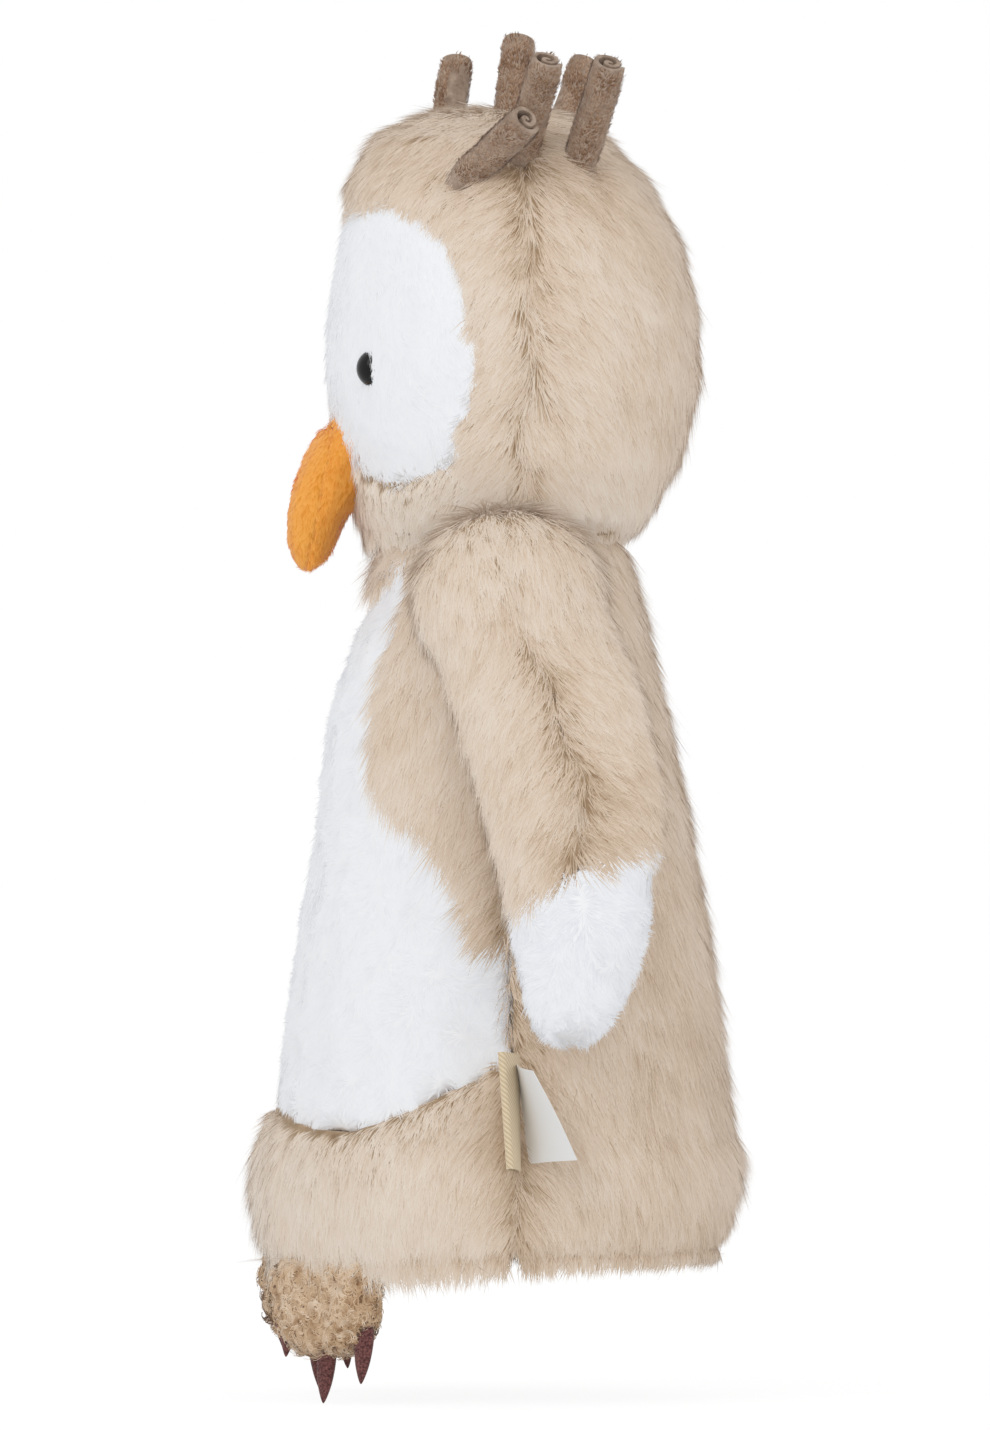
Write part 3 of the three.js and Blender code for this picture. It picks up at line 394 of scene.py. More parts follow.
def strand_mesh(name, corners, pattern, map_places, normals, material):
    """A mesh of many like strands, with the map of their colour and the pile's own normals."""
    count, each = corners.shape[:2]
    used = len(pattern)
    mesh = bpy.data.meshes.new(name)
    mesh.vertices.add(count * each)
    mesh.vertices.foreach_set("co", (corners * MM).astype(np.float32).ravel())
    index = (np.arange(count)[:, None] * each + pattern).ravel()
    mesh.loops.add(count * used)
    mesh.loops.foreach_set("vertex_index", index.astype(np.int32))
    mesh.polygons.add(count * used // 3)
    mesh.polygons.foreach_set("loop_start", np.arange(0, count * used, 3, dtype=np.int32))
    mesh.update(calc_edges=True)
    mesh.polygons.foreach_set("use_smooth", np.ones(count * used // 3, bool))
    places = map_places[:, pattern].reshape(-1, 2)
    mesh.uv_layers.new(name="OFBake").data.foreach_set("uv", places.astype(np.float32).ravel())
    mesh.normals_split_custom_set_from_vertices(np.repeat(normals, each, axis=0))
    mesh.materials.append(material)
    piece = bpy.data.objects.new(name, mesh)
    bpy.context.scene.collection.objects.link(piece)
    # Light passes between fine fibres, so only the cloth below them throws a shadow, and the shade inside the
    # pile is painted into the strands' colour instead
    piece.visible_shadow = False
    piece.visible_diffuse = False
    return piece


# The most in one piece, at two triangles each
MOST_STRANDS = 95000
# How much strands differ: from lock to lock, and inside a lock
TURNS = 0.14, 0.12
RAISES = 0.05, 0.08
LENGTHS = 0.07, 0.12
TINTS = 0.07, 0.12
# A strand's share below its bend
BELOW_BEND = 0.45


def lay_pile(
    name, material, rng, roots, outwards, flow, length, lift, tip_lift, width, tint, gather, lock, stir=1.0
):
    """Strands that leave their roots at an angle and bend over along the way that the pile is combed.
    Strands of one lock share a turn, a length and a tint, and gather towards its middle."""
    count = len(roots)
    centres = roots[rng.choice(count, max(1, int(count / lock)), replace=False)]
    mine, _ = nearest_of(centres, roots)

    def own(amount):
        return rng.normal(size=count) * amount

    def varied(of_lock, of_strand):
        return rng.normal(size=len(centres))[mine] * of_lock + own(of_strand)

    def slope(angle):
        return flow * np.cos(angle)[:, None] + outwards * np.sin(angle)[:, None]

    turn = varied(*TURNS) * stir
    raised = varied(*RAISES) * stir
    length = length * np.clip(1 + varied(*LENGTHS), 0.5, 1.4)
    tints = np.clip(tint + varied(*TINTS), 0.02, 0.98)
    flow = unit(flow - outwards * np.sum(flow * outwards, axis=1)[:, None])
    across = np.cross(outwards, flow)
    flow = flow * np.cos(turn)[:, None] + across * np.sin(turn)[:, None]
    across = np.cross(outwards, flow)
    to_middle = (centres[mine] - roots) * gather
    middle = roots + slope(lift + raised) * (length * BELOW_BEND)[:, None] + to_middle * 0.4
    tip = middle + slope(tip_lift + raised) * (length * (1 - BELOW_BEND))[:, None] + to_middle * 0.6
    middle += across * (own(0.03) * length)[:, None]
    roll = own(0.25)
    side = across * np.cos(roll)[:, None] + outwards * np.sin(roll)[:, None]
    half = side * (width / 2)
    corners = np.stack([roots, middle + half, middle - half, tip], axis=1)
    pattern = np.array([0, 2, 1, 1, 2, 3])
    heights = np.array([0.02, 0.5, 0.5, 0.98])
    spread = np.array([0, 0.01, -0.01, 0])
    places = np.stack([tints[:, None] + spread, np.tile(heights, (count, 1))], axis=2)
    facing = np.cross(side, tip - roots)
    facing = unit(facing * np.sign(np.sum(facing * outwards, axis=1))[:, None])
    normals = unit(outwards * 0.8 + facing * 0.2)
    order = np.argsort(roots[:, 0])
    groups = np.array_split(order, math.ceil(count / MOST_STRANDS))
    names = [name] if len(groups) == 1 else [f"{name}_{i + 1}" for i in range(len(groups))]
    return [
        strand_mesh(part, corners[group], pattern, places[group], normals[group], material)
        for part, group in zip(names, groups)
    ]


# Readings of how far a place faces outwards, from where a panel's cut edge ends to where its skin begins
SKIN = 0.2, 0.9
# How far the edges that meet in a seam are drawn together, in millimetres
SEAM_DRAW = 0.9


def pile_cloth(
    node, body, outside, comb, seed, slot, ground, material, density, length, lift, tip_lift, width, tint,
    gather=0.25, lock=14, voxel=2.0, rounds=6, sink=0.0, least=0.3, swell=None, layer="pile",
):
    """A panel of pile cloth: its ground follows the node's form, and the pile stands on it.
    Length, lift and tint are numbers, or are read from a root's place. Long pile takes up part of the
    node's own thickness, so its ground lies a little deeper. Swell is how far the filling pushes it out."""
    skin = softened(node, f"{node}_ground", voxel, rounds)
    finished(skin, [node], body, ground)
    if swell:
        points, normals = mesh_points(skin)
        pushed = swell(points) * rise(outside(points, normals), *SKIN)
        set_points(skin, points + normals * pushed[:, None])
    if sink:
        points, normals = mesh_points(skin)
        facing = outside(points, normals)
        set_points(skin, points - normals * (sink * rise(facing, *SKIN))[:, None])
    if sink > 0:
        cut = rise(0.6 - facing, 0, 0.3)
        set_points(skin, mesh_points(skin)[0] + normals * (SEAM_DRAW * cut)[:, None])
    rng = np.random.default_rng(seed)
    roots, outwards = scatter(skin, outside, density, rng, least)

    def read(rule):
        return rule(roots) if callable(rule) else np.full(len(roots), float(rule))

    tints = read(tint) + 0.07 * waves(roots, 26, seed) + 0.03 * waves(roots, 9, seed + 50)
    for piece in lay_pile(
        f"{node}_{layer}", material, rng, roots, outwards, comb(roots, outwards), read(length),
        read(lift), read(tip_lift), width, tints, gather, lock,
    ):
        finished(piece, [node], body)
    return skin


def combed_down(points):
    return np.tile([0.0, 0.0, -1.0], (len(points), 1))


def swirl(points, size, seeds):
    """An uneven push that turns the comb this way and that, with one seed for each axis."""
    return np.stack([waves(points, size, seed) for seed in seeds], axis=1)


# The body

# Where the rules of its pile set in, as heights and distances in millimetres
COLLAR_EDGE = 188
SHOULDER_CUT = SHOULDER_RADIUS + 1.6
SIDE_COMB = 12
HEM_COMB = -2, 16
HEM_EDGE = 2, 26
HEM_SLIM = 16, 30
PALE_FRONT = 40, 90
LIP_REACH = 1.5, 10
LIP_TOP = 60, 75
CHEST_HEIGHT, CHEST_SPREAD = 138, 20
PRESSED_NECK = 158, 170


def body_half_width(z):
    lean = HEM_HALF_WIDTH + (NECK_HALF_WIDTH - HEM_HALF_WIDTH) * z / BODY_HEIGHT
    return lean + BODY_BULGE * np.sin(np.pi * z / BODY_HEIGHT)


def body_outside(points, normals):
    """How far a place faces out of the body, from 0 on a cut edge to 1."""
    out = points * np.array([1 / HEM_HALF_WIDTH, 1 / HEM_HALF_DEPTH, 0])
    value = np.sum(unit(out) * normals, axis=1)
    for sign in SIDES.values():
        near = np.linalg.norm(points - SHOULDER * [sign, 1, 1], axis=1)
        value = np.where(near < SHOULDER_CUT, 0, value)
    level_edge = normals[:, 2] > 0.85
    return np.where((points[:, 2] > COLLAR_EDGE) | level_edge, 0, value)


def body_side(points):
    """1 at the body's sides and 0 at its front and back."""
    return rise(np.abs(points[:, 0]) / body_half_width(points[:, 2]), 0.5, 0.85)


def body_comb(points, normals):
    """Down, and away from the side seams."""
    flow = combed_down(points)
    near_seam = np.exp(-np.abs(points[:, 1]) / SIDE_COMB)
    strength = near_seam * body_side(points) * rise(points[:, 2], *HEM_COMB)
    flow[:, 1] += np.where(points[:, 1] < 0, -1, 1) * strength
    flow[:, :2] += 0.12 * swirl(points, 45, (3, 4))
    return flow


def straying(points, distance, seed):
    """How far a place is from a parting that strays to both sides of the seam."""
    return distance + 2.4 * waves(points, 22, seed) + 1.0 * waves(points, 7, seed + 1)


def parted(distance):
    """A share of the full length: the pile was caught in a seam, and is shorter along it."""
    return 1 - 0.25 * np.exp(-((distance / 1.7) ** 2))


def hem_edge(points):
    """1 at the hem's lower edge, and 0 above the hem band."""
    return 1 - rise(points[:, 2], *HEM_EDGE)


def under_chin(points):
    """1 at the front of the neck, where the beak and the chin press on the pile."""
    return rise(points[:, 2], *PRESSED_NECK) * rise(-points[:, 1], 5, 25)


def body_swell(points):
    """The chest is fuller, and the neck and the hem band are slimmer."""
    chest = np.exp(-(((points[:, 2] - CHEST_HEIGHT) / CHEST_SPREAD) ** 2)) * rise(-points[:, 1], 5, 30)
    return 2.4 * chest - 2.5 * under_chin(points) - 2.6 * (1 - rise(points[:, 2], *HEM_SLIM))


belly_points = mesh_points(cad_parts["belly_panel"])[0]


def hem_lip(points):
    """1 on the hem band's rounded upper edge, which the belly panel goes down behind."""
    near = 1 - rise(nearest_of(belly_points, points)[1], *LIP_REACH)
    return near * (1 - rise(points[:, 2], *LIP_TOP))


def body_length(points):
    """Shorter at the hem's lower edge, most of all at the back, so that little hangs below it."""
    back = 1 + 6 * rise(points[:, 1], -45, 15) + rise(points[:, 1], 15, 50)
    full = 13 - back * hem_edge(points) - 4 * under_chin(points) - 8.5 * hem_lip(points)
    return full * (1 - (1 - parted(points[:, 1])) * body_side(points))


def body_lift(points):
    """Flat at the hem, and standing up a little where two panels meet."""
    seam = np.exp(-np.abs(points[:, 1]) / 3) * body_side(points)
    return 0.48 - 0.26 * hem_edge(points) - 0.2 * hem_lip(points) + 0.25 * seam


def body_tip_lift(points):
    return 0.14 - 0.12 * hem_edge(points)


def body_tint(points):
    """Painted shade: warmer and darker at the back, and darker in the partings along the side seams. Paler at
    the front of the hem.
    """
    rear = rise(points[:, 1], -10, 35)
    front = 1 - rise(points[:, 1], -40, 0)
    seam = np.exp(-np.abs(points[:, 1]) / 5) * body_side(points)
    return 0.6 - 0.16 * rear + 0.2 * front * (1 - rise(points[:, 2], *PALE_FRONT)) - 0.3 * seam


# The head

# Where the rules of its pile set in, as heights and distances in millimetres
COLLAR_CUT = COLLAR_RADIUS + 3
NAPE = 182, 212
PALE_NAPE = 180, 215
CHIN = 196, 206
FOREHEAD = 255, 290
CROWN = 268, 290
CROWN_TOP = 285, 296
BESIDE_FACE = 2, 12
BACK_OF_HEAD = 5, 45
EYE_PLACE = np.array([25.125, -34.662, 228.500])
EYE_FACING = np.array([0.2250, -0.9744, -0.0010])
EYE_SUNK = 1.6
BY_EYE = 4.5, 9
EYE_LEVEL_FROM, EYE_LEVEL_TO = (206, 224), (240, 268)
FACE_MIDDLE = 26
FACE_HANG = 199, 210
BEAK_ROOT = 190, 200


def head_outside(points, normals):
    value = np.sum(unit((points - HEAD_CENTRE) / HEAD_HALF_SIZE) * normals, axis=1)
    return np.where(np.linalg.norm(points - PIVOT, axis=1) < COLLAR_CUT, 0, value)


def head_side(points):
    """1 at the head's sides and 0 in its middle."""
    return rise(np.abs(points[:, 0]) / HEAD_HALF_SIZE[0], 0.1, 0.7)


def from_head_seam(points):
    """How far a place is from the parting over the seam that joins the head's halves."""
    return straying(points, points[:, 1] - HEAD_SEAM, 60)


def head_comb(points, normals):
    """Down from the crown, and away from the parting."""
    flow = combed_down(points)
    from_seam = from_head_seam(points)
    away = from_seam / (np.abs(from_seam) + 0.8)
    flow[:, 1] += away * (0.25 + 0.9 * np.exp(-np.abs(from_seam) / 18) * head_side(points))
    flow[:, :2] += 0.14 * swirl(points, 40, (5, 6))
    return flow


face_points = mesh_points(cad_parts["face_panel"])[0]


def from_face(points):
    return nearest_of(face_points[::3], points)[1]


def head_length(points):
    """Short beside the face, on the crown and round the neck, long elsewhere."""
    crown = rise(points[:, 2], *CROWN)
    low = 1 - rise(points[:, 2], *NAPE)
    full = (5.5 + 5.5 * rise(from_face(points), *BESIDE_FACE)) * (1 - 0.25 * crown - 0.35 * low)
    return full * (1 - (1 - parted(points[:, 1] - HEAD_SEAM)) * head_side(points))


def head_lift(points):
    seam = np.exp(-np.abs(from_head_seam(points)) / 3)
    low = 1 - rise(points[:, 2], *NAPE)
    return 0.34 + 0.12 * rise(points[:, 2], *CROWN_TOP) - 0.14 * low + 0.25 * seam


def head_tint(points):
    """Painted shade: darker on the forehead, the crown and the back, and in the parting along the seam. Paler
    low on the nape and by the chin.
    """
    seam = np.exp(-np.abs(from_head_seam(points)) / 5)
    seam *= head_side(points) * (0.6 + 0.4 * waves(points, 16, 62))
    low = 1 - rise(points[:, 2], *PALE_NAPE)
    chin = np.exp(-((from_face(points) / 8) ** 2)) * (1 - rise(points[:, 2], *CHIN))
    forehead = rise(points[:, 2], *FOREHEAD)
    back = rise(points[:, 1], *BACK_OF_HEAD)
    return 0.68 - 0.26 * forehead - 0.15 * back - 0.25 * seam + 0.3 * low + 0.2 * chin


def eye_reach(points):
    """How far each place is from the nearer eye."""
    left, right = (points - EYE_PLACE * [sign, 1, 1] for sign in SIDES.values())
    return np.minimum(np.linalg.norm(left, axis=1), np.linalg.norm(right, axis=1))


def behind_eye(points):
    """1 just behind an eye, where the plush leans forward over its rim."""
    return np.exp(-((eye_reach(points) / 9) ** 2)) * rise(points[:, 1] - EYE_PLACE[1], -1, 2)


def face_comb(points, normals):
    """Short plush, brushed a little down and away from the middle."""
    flow = 0.8 * combed_down(points)
    flow[:, 0] += 0.02 * points[:, 0]
    flow += 0.4 * swirl(points, 14, (7, 8, 9))
    flow[:, 1] -= 4 * behind_eye(points)
    flow[:, 0] += 2 * np.sign(points[:, 0]) * behind_eye(points)
    return flow


beak_points = mesh_points(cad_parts["beak_underside"])[0]


def by_beak(points):
    """1 beside the beak, whose root the plush overlaps."""
    near = np.exp(-((nearest_of(beak_points, points)[1] / 5) ** 2))
    return near * rise(points[:, 2], *BEAK_ROOT)


def face_swell(points):
    """The filling pushes the middle of the face forward, most at the height of the eyes."""
    across = np.exp(-((points[:, 0] / FACE_MIDDLE) ** 2))
    return 3.7 * across * rise(points[:, 2], *EYE_LEVEL_FROM) * (1 - rise(points[:, 2], *EYE_LEVEL_TO))


def face_length(points):
    """The plush is pressed short round the eyes, but for the back of their rims.
    It hangs over the face's lower edge."""
    full = 5 + 2 * (1 - rise(points[:, 2], *FACE_HANG))
    pressed = 3.4 * (1 - rise(eye_reach(points), *BY_EYE))
    return full - pressed + 4 * behind_eye(points) + 1.5 * by_beak(points)


def face_lift(points):
    return 0.35 + 0.5 * behind_eye(points) + 0.5 * by_beak(points)


# The wings

# Heights in the wing's own frame, which starts at the shoulder
SHOULDER_TOP = 0, 20
SHOULDER_COMB = -20, -2
PARTING_END = -22, -8
# How far below the shoulder the mitt starts to round off
TIP_FROM = 95
# The wing leans out just enough to clear the body's side all the way down
drops = np.arange(1, 13) * WING_LENGTH / 12
wing_tilt_out = np.max(np.arctan((body_half_width(PIVOT[2] - drops) - body_half_width(PIVOT[2])) / drops))


def wing_axes(sign):
    """The wing's own frame: it hangs along -Z and its flat faces look along X."""
    tilt_back = Matrix.Rotation(math.radians(WING_TILT_BACK), 3, "X")
    return np.array(tilt_back @ Matrix.Rotation(-sign * wing_tilt_out, 3, "Y"))


def wing_middle(z):
    return WING_BOW * np.sin(np.pi * np.clip(-z / WING_LENGTH, 0, 1))


def in_wing(points, sign):
    return (points - SHOULDER * [sign, 1, 1]) @ wing_axes(sign)


def wing_outside(sign):
    def outside(points, normals):
        local = in_wing(points, sign)
        out = local.copy()
        out[:, 1] -= wing_middle(local[:, 2])
        out[:, 0] /= WING_HALF_THICKNESS**2
        out[:, 1] /= WING_HALF_WIDTH**2
        out[:, 2] = 0.03 * (rise(local[:, 2], *SHOULDER_TOP) - rise(-local[:, 2], TIP_FROM, WING_LENGTH))
        return np.sum(unit(out) * (normals @ wing_axes(sign)), axis=1)

    return outside


def from_wing_seam(points, sign):
    """How far a place is from the parting over the wing's outer seam."""
    local = in_wing(points, sign)
    return straying(points, local[:, 1] - wing_middle(local[:, 2]), 64)


def along_wing_seam(points, sign):
    """1 at the parting and 0 away from it. The parting ends below the shoulder."""
    below_shoulder = 1 - rise(in_wing(points, sign)[:, 2], *PARTING_END)
    return np.exp(-np.abs(from_wing_seam(points, sign)) / 4) * below_shoulder


def wing_comb(sign):
    """Down the wing, and on its outer face away from the parting."""

    def comb(points, normals):
        flow = combed_down(points)
        from_seam = from_wing_seam(points, sign)
        outer = rise(sign * (normals @ wing_axes(sign))[:, 0], 0, 0.5)
        outer *= 1 - rise(in_wing(points, sign)[:, 2], *SHOULDER_COMB)
        away = from_seam / (np.abs(from_seam) + 0.8)
        flow[:, 1] += away * (0.15 + 1.3 * np.exp(-np.abs(from_seam) / 10)) * outer
        return flow @ wing_axes(sign).T

    return comb


def wing_tint(sign):
    # Painted shade: darker towards the back of the wing and in the parting along its seam
    def tint(points):
        seam = along_wing_seam(points, sign) * (0.65 + 0.35 * waves(points, 13, 66))
        return 0.64 - 0.14 * rise(points[:, 1], -5, 20) - 0.26 * seam

    return tint


def plush_comb(comb):
    """Short plush keeps only a hint of the way that it was combed."""

    def stirred(points, normals):
        return 0.6 * comb(points, normals) + 0.8 * swirl(points, 12, (7, 8, 9))

    return stirred


LONG = dict(slot="long_pile_beige", ground=LONG_GROUND, material=LONG_PILE, density=5.7, width=0.28)
SHORT = dict(
    slot="short_pile_white", ground=WHITE_GROUND, material=WHITE_PILE, density=4.5, width=0.33,
    tip_lift=0.15, gather=0.1, tint=0.6,
)

for seed, node in enumerate(["front_fur", "hem_front_fur", "back_fur"]):
    pile_cloth(
        node, "body", body_outside, body_comb, seed, length=body_length, lift=body_lift,
        tip_lift=body_tip_lift, tint=body_tint, sink=0.6, least=0.1, swell=body_swell, **LONG,
    )
pile_cloth(
    "belly_panel", "body", body_outside, plush_comb(body_comb), 5, length=5.5, lift=0.4,
    swell=body_swell, least=0.05, **SHORT,
)
for seed, node in enumerate(["head_front_fur", "head_back_fur"]):
    skin = pile_cloth(
        node, "head", head_outside, head_comb, 10 + seed, length=head_length, lift=head_lift,
        tip_lift=0.04, tint=head_tint, sink=1.0, **LONG,
    )
skin = pile_cloth(
    "face_panel", "head", head_outside, face_comb, 15, length=face_length, lift=face_lift,
    swell=face_swell, **SHORT,
)
for side, sign in SIDES.items():
    outside, comb = wing_outside(sign), wing_comb(sign)
    for seed, part in enumerate(["front_fur", "back_fur"]):
        pile_cloth(
            f"wing_{side}_{part}", f"wing_{side}", outside, comb, 20 + seed + sign,
            length=lambda points: 10.5 * parted(from_wing_seam(points, sign)),
            lift=lambda points: 0.46 + 0.4 * along_wing_seam(points, sign), tip_lift=0.16,
            tint=wing_tint(sign), sink=0.3, **LONG,
        )
    pile_cloth(
        f"wing_{side}_tip", f"wing_{side}", outside, plush_comb(comb), 25 + sign, length=5, lift=0.45,
        **dict(SHORT, tint=0.35),
    )


# Eyes


def turned_to(place, facing, piece):
    """Stands a piece that was made at the origin, with its own +Z along a direction."""
    turn = Vector(facing).to_track_quat("Z", "Y").to_matrix().to_4x4()
    piece.data.transform(Matrix.Translation(Vector(place) * MM) @ turn)
    piece.data.update()


EYE_RADIUS = 5
EYE_FLATNESS = 0.68
EYE_RIM = 0.25
SHANK_SHARE = 0.33
SHANK_LENGTH = 9


def extruded_back(depth):
    bpy.ops.mesh.extrude_region_move(TRANSFORM_OT_translate={"value": (0, 0, -depth * MM)})


def narrowed(share):
    bpy.ops.transform.resize(value=(share, share, 1), center_override=(0, 0, 0))


def eye_form(name):
    """A safety eye at the origin that looks along +Z: its dome, its rim, and the shank behind it."""
    bpy.ops.object.select_all(action="DESELECT")
    bpy.ops.mesh.primitive_uv_sphere_add(segments=48, ring_count=32, radius=EYE_RADIUS * MM)
    eye = bpy.context.active_object
    eye.name = name
    editing(
        eye,
        lambda: bpy.ops.mesh.bisect(plane_co=(0, 0, 0), plane_no=(0, 0, -1), clear_outer=True),
        lambda: bpy.ops.transform.resize(value=(1, 1, EYE_FLATNESS)),
    )
    # The rim turns in under the dome, to the shank that the washer grips
    editing(
        eye,
        lambda: bpy.ops.mesh.select_all(action="DESELECT"),
        bpy.ops.mesh.select_non_manifold,
        lambda: extruded_back(EYE_RIM),
        lambda: narrowed(0.97),
        lambda: extruded_back(0),
        lambda: narrowed(SHANK_SHARE),
        lambda: extruded_back(SHANK_LENGTH),
        bpy.ops.mesh.edge_face_add,
    )
    smooth_shading(eye, 40)
    return eye


for side, sign in SIDES.items():
    eye = eye_form(f"eye_{side}_dome")
    turned_to((EYE_PLACE - EYE_FACING * EYE_SUNK) * [sign, 1, 1], EYE_FACING * [sign, 1, 1], eye)
    finished(eye, [f"eye_{side}"], "head", EYE_PLASTIC)

# Beak: two plush panels over a filling

BEAK_MIDDLE = np.array([0, -44, 0])
BEAK_SIDE = -58, -48
BEAK_TIP_TOP = 182


def beak_outside(points, normals):
    out = points - BEAK_MIDDLE
    out[:, 2] = 0
    under_tip = (normals[:, 2] < -0.5) * (points[:, 2] < BEAK_TIP_TOP)
    return np.sum(unit(out) * normals, axis=1) + 0.4 * under_tip


def beak_comb(points, normals):
    flow = np.tile([0.0, -0.2, -1.0], (len(points), 1))
    return flow + 0.25 * swirl(points, 9, (31, 32, 33))


def beak_length(points):
    """The nap is rubbed short at the front, and stands in tufts at the sides."""
    return 0.9 + 1.5 * rise(points[:, 1], *BEAK_SIDE)


def beak_lift(points):
    return 0.35 + 0.35 * rise(points[:, 1], *BEAK_SIDE)


# The underside's lower tint is painted shade: its nap is painted darker because it faces down
for part, slot, tint in [("top", "plush_orange", 0.95), ("underside", "plush_amber", 0.75)]:
    skin = pile_cloth(
        f"beak_{part}", "head", beak_outside, beak_comb, 40, slot, BEAK_GROUND, BEAK_NAP,
        density=10, length=beak_length, lift=beak_lift, tip_lift=0.2, width=0.28, tint=tint,
        gather=0.4, lock=10, voxel=0.6, rounds=3, sink=-0.5, least=0.0, layer="nap",
    )


# Ear tufts: a strip of plush, rolled up

ROLL_RADIUS, ROLL_TURNS, ROLL_INSIDE, ROLL_WALL = 4.4, 1.9, 8, 1.15
SPIRAL_POINTS = 60
# Rings of edges that let the strip bow
ROLL_RINGS = 12
# How far the middle of the strip is from the roll's own middle after so many turns
ROLL_SPIRAL = [0, 0.75, 0.9, 1.08, 1.9], [0.35, 1.5, 2.0, 3.6, 3.82]
# The way that each roll points, and its length outside the head
ROLLS = {
    "left_front": ((1.28, 1, 1), 23.5),
    "left_middle": ((0.55, 0.24, 1), 25.8),
    "left_rear": ((0.6, 0.27, 1), 28),
    "right_front": ((-0.5, 0.08, 1), 28.5),
    "right_middle": ((-0.5, 0.19, 1), 34.5),
    "right_rear": ((-0.5, 0.49, 1), 30.5),
}


def roll_foot(node, lean):
    """The middle of a roll's lower end, which lies inside the head, and the way that the roll points."""
    points, _ = mesh_points(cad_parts[node])
    axis = np.array(lean) / np.linalg.norm(lean)
    along = points @ axis
    end = points[along < along.min() + 0.1]
    return (end.max(axis=0) + end.min(axis=0)) / 2, axis


def rolled_strip(name, length, seed):
    """A strip rolled from its inner end outwards, standing along +Z from the origin."""
    curve = bpy.data.curves.new(name, "CURVE")
    curve.dimensions = "3D"
    spline = curve.splines.new("POLY")
    spline.points.add(SPIRAL_POINTS - 1)
    for i, point in enumerate(spline.points):
        turns = ROLL_TURNS * i / (SPIRAL_POINTS - 1)
        radius = np.interp(turns, *ROLL_SPIRAL)
        angle = 2 * math.pi * turns
        point.co = (radius * math.cos(angle) * MM, radius * math.sin(angle) * MM, 0, 1)
    whole = length + ROLL_INSIDE
    curve.extrude = whole / 2 * MM
    piece = bpy.data.objects.new(name, curve)
    bpy.context.scene.collection.objects.link(piece)
    only(piece)
    bpy.ops.object.convert(target="MESH")
    piece = bpy.context.active_object
    editing(
        piece,
        lambda: bpy.ops.mesh.remove_doubles(threshold=0.01 * MM),
        lambda: bpy.ops.transform.translate(value=(0, 0, whole / 2 * MM)),
    )
    for ring in range(1, ROLL_RINGS):
        height = whole * ring / ROLL_RINGS * MM
        editing(piece, lambda: bpy.ops.mesh.bisect(plane_co=(0, 0, height), plane_no=(0, 0, 1)))
    apply_modifier(piece, "SOLIDIFY", thickness=ROLL_WALL * MM, offset=0)
    # The cut edges are rounded over
    sharp = math.radians(60)
    apply_modifier(piece, "BEVEL", width=0.6 * MM, segments=3, limit_method="ANGLE", angle_limit=sharp)
    points, _ = mesh_points(piece)
    height = points[:, 2] / whole
    # Each roll bows a little, and its wall is uneven and drawn in at the end
    rng = np.random.default_rng(seed)
    bow = rng.normal(size=2) * 0.8
    points[:, :2] += np.sin(np.pi * height)[:, None] * bow
    points[:, :2] *= (1 - 0.05 * rise(height, 0.9, 1) + 0.02 * waves(points, 14, seed))[:, None]
    set_points(piece, points)
    smooth_shading(piece)
    return piece


# The nap starts a little inside the head and ends before the cut edge
NAP_FROM = ROLL_INSIDE - 3
NAP_END = 1.5
OUTER_TURN = ROLL_RADIUS - 1.1


def roll_outside(foot, axis, length):
    """The nap is on the strip's outer turn, and wears off towards the cut end."""

    def outside(points, normals):
        along = (points - foot) @ axis
        reach = np.linalg.norm(points - foot - along[:, None] * axis, axis=1)
        level = 1 - np.abs(normals @ axis)
        napped = (along > NAP_FROM) * (along < ROLL_INSIDE + length - NAP_END)
        return level * (reach > OUTER_TURN) * napped

    return outside


for seed, (name, (lean, length)) in enumerate(ROLLS.items()):
    node = f"ear_roll_{name}"
    foot, axis = roll_foot(node, lean)
    roll = rolled_strip(f"{node}_strip", length, seed)
    turned_to(foot, axis, roll)
    finished(roll, [node], "head", ROLL_GROUND)
    rng = np.random.default_rng(60 + seed)
    roots, outwards = scatter(roll, roll_outside(foot, axis, length), 8, rng)
    for piece in lay_pile(
        f"{node}_nap", ROLL_NAP, rng, roots, outwards, axis + 0.4 * swirl(roots, 6, (51, 52, 53)),
        length=np.full(len(roots), 1.3), lift=0.55, tip_lift=0.25, width=0.26,
        tint=0.5 + 0.25 * waves(roots, 8, seed), gather=0.4, lock=8, stir=1.6,
    ):
        finished(piece, [node], "head")


# Feet: curled pile, and claws of suedette

FOOT_PLACE = np.array([35.081, -46.554, -5.5])
FOOT_MIDDLE = FOOT_PLACE - [0, 0, 6]
FOOT_TURN = 37
FOOT_HANG = {"left": 0, "right": 10}
# How deep the ground lies below the curls, and a curl's own sizes
CURL_DEPTH = 2.2
CURL_DENSITY = 3.4
CURL_RADIUS = 1.25
CURL_HEIGHT = 1.4
CURL_HALF_WIDTH = 0.21
CURL_STEPS = 9
CURLS_IN_LOCK = 7


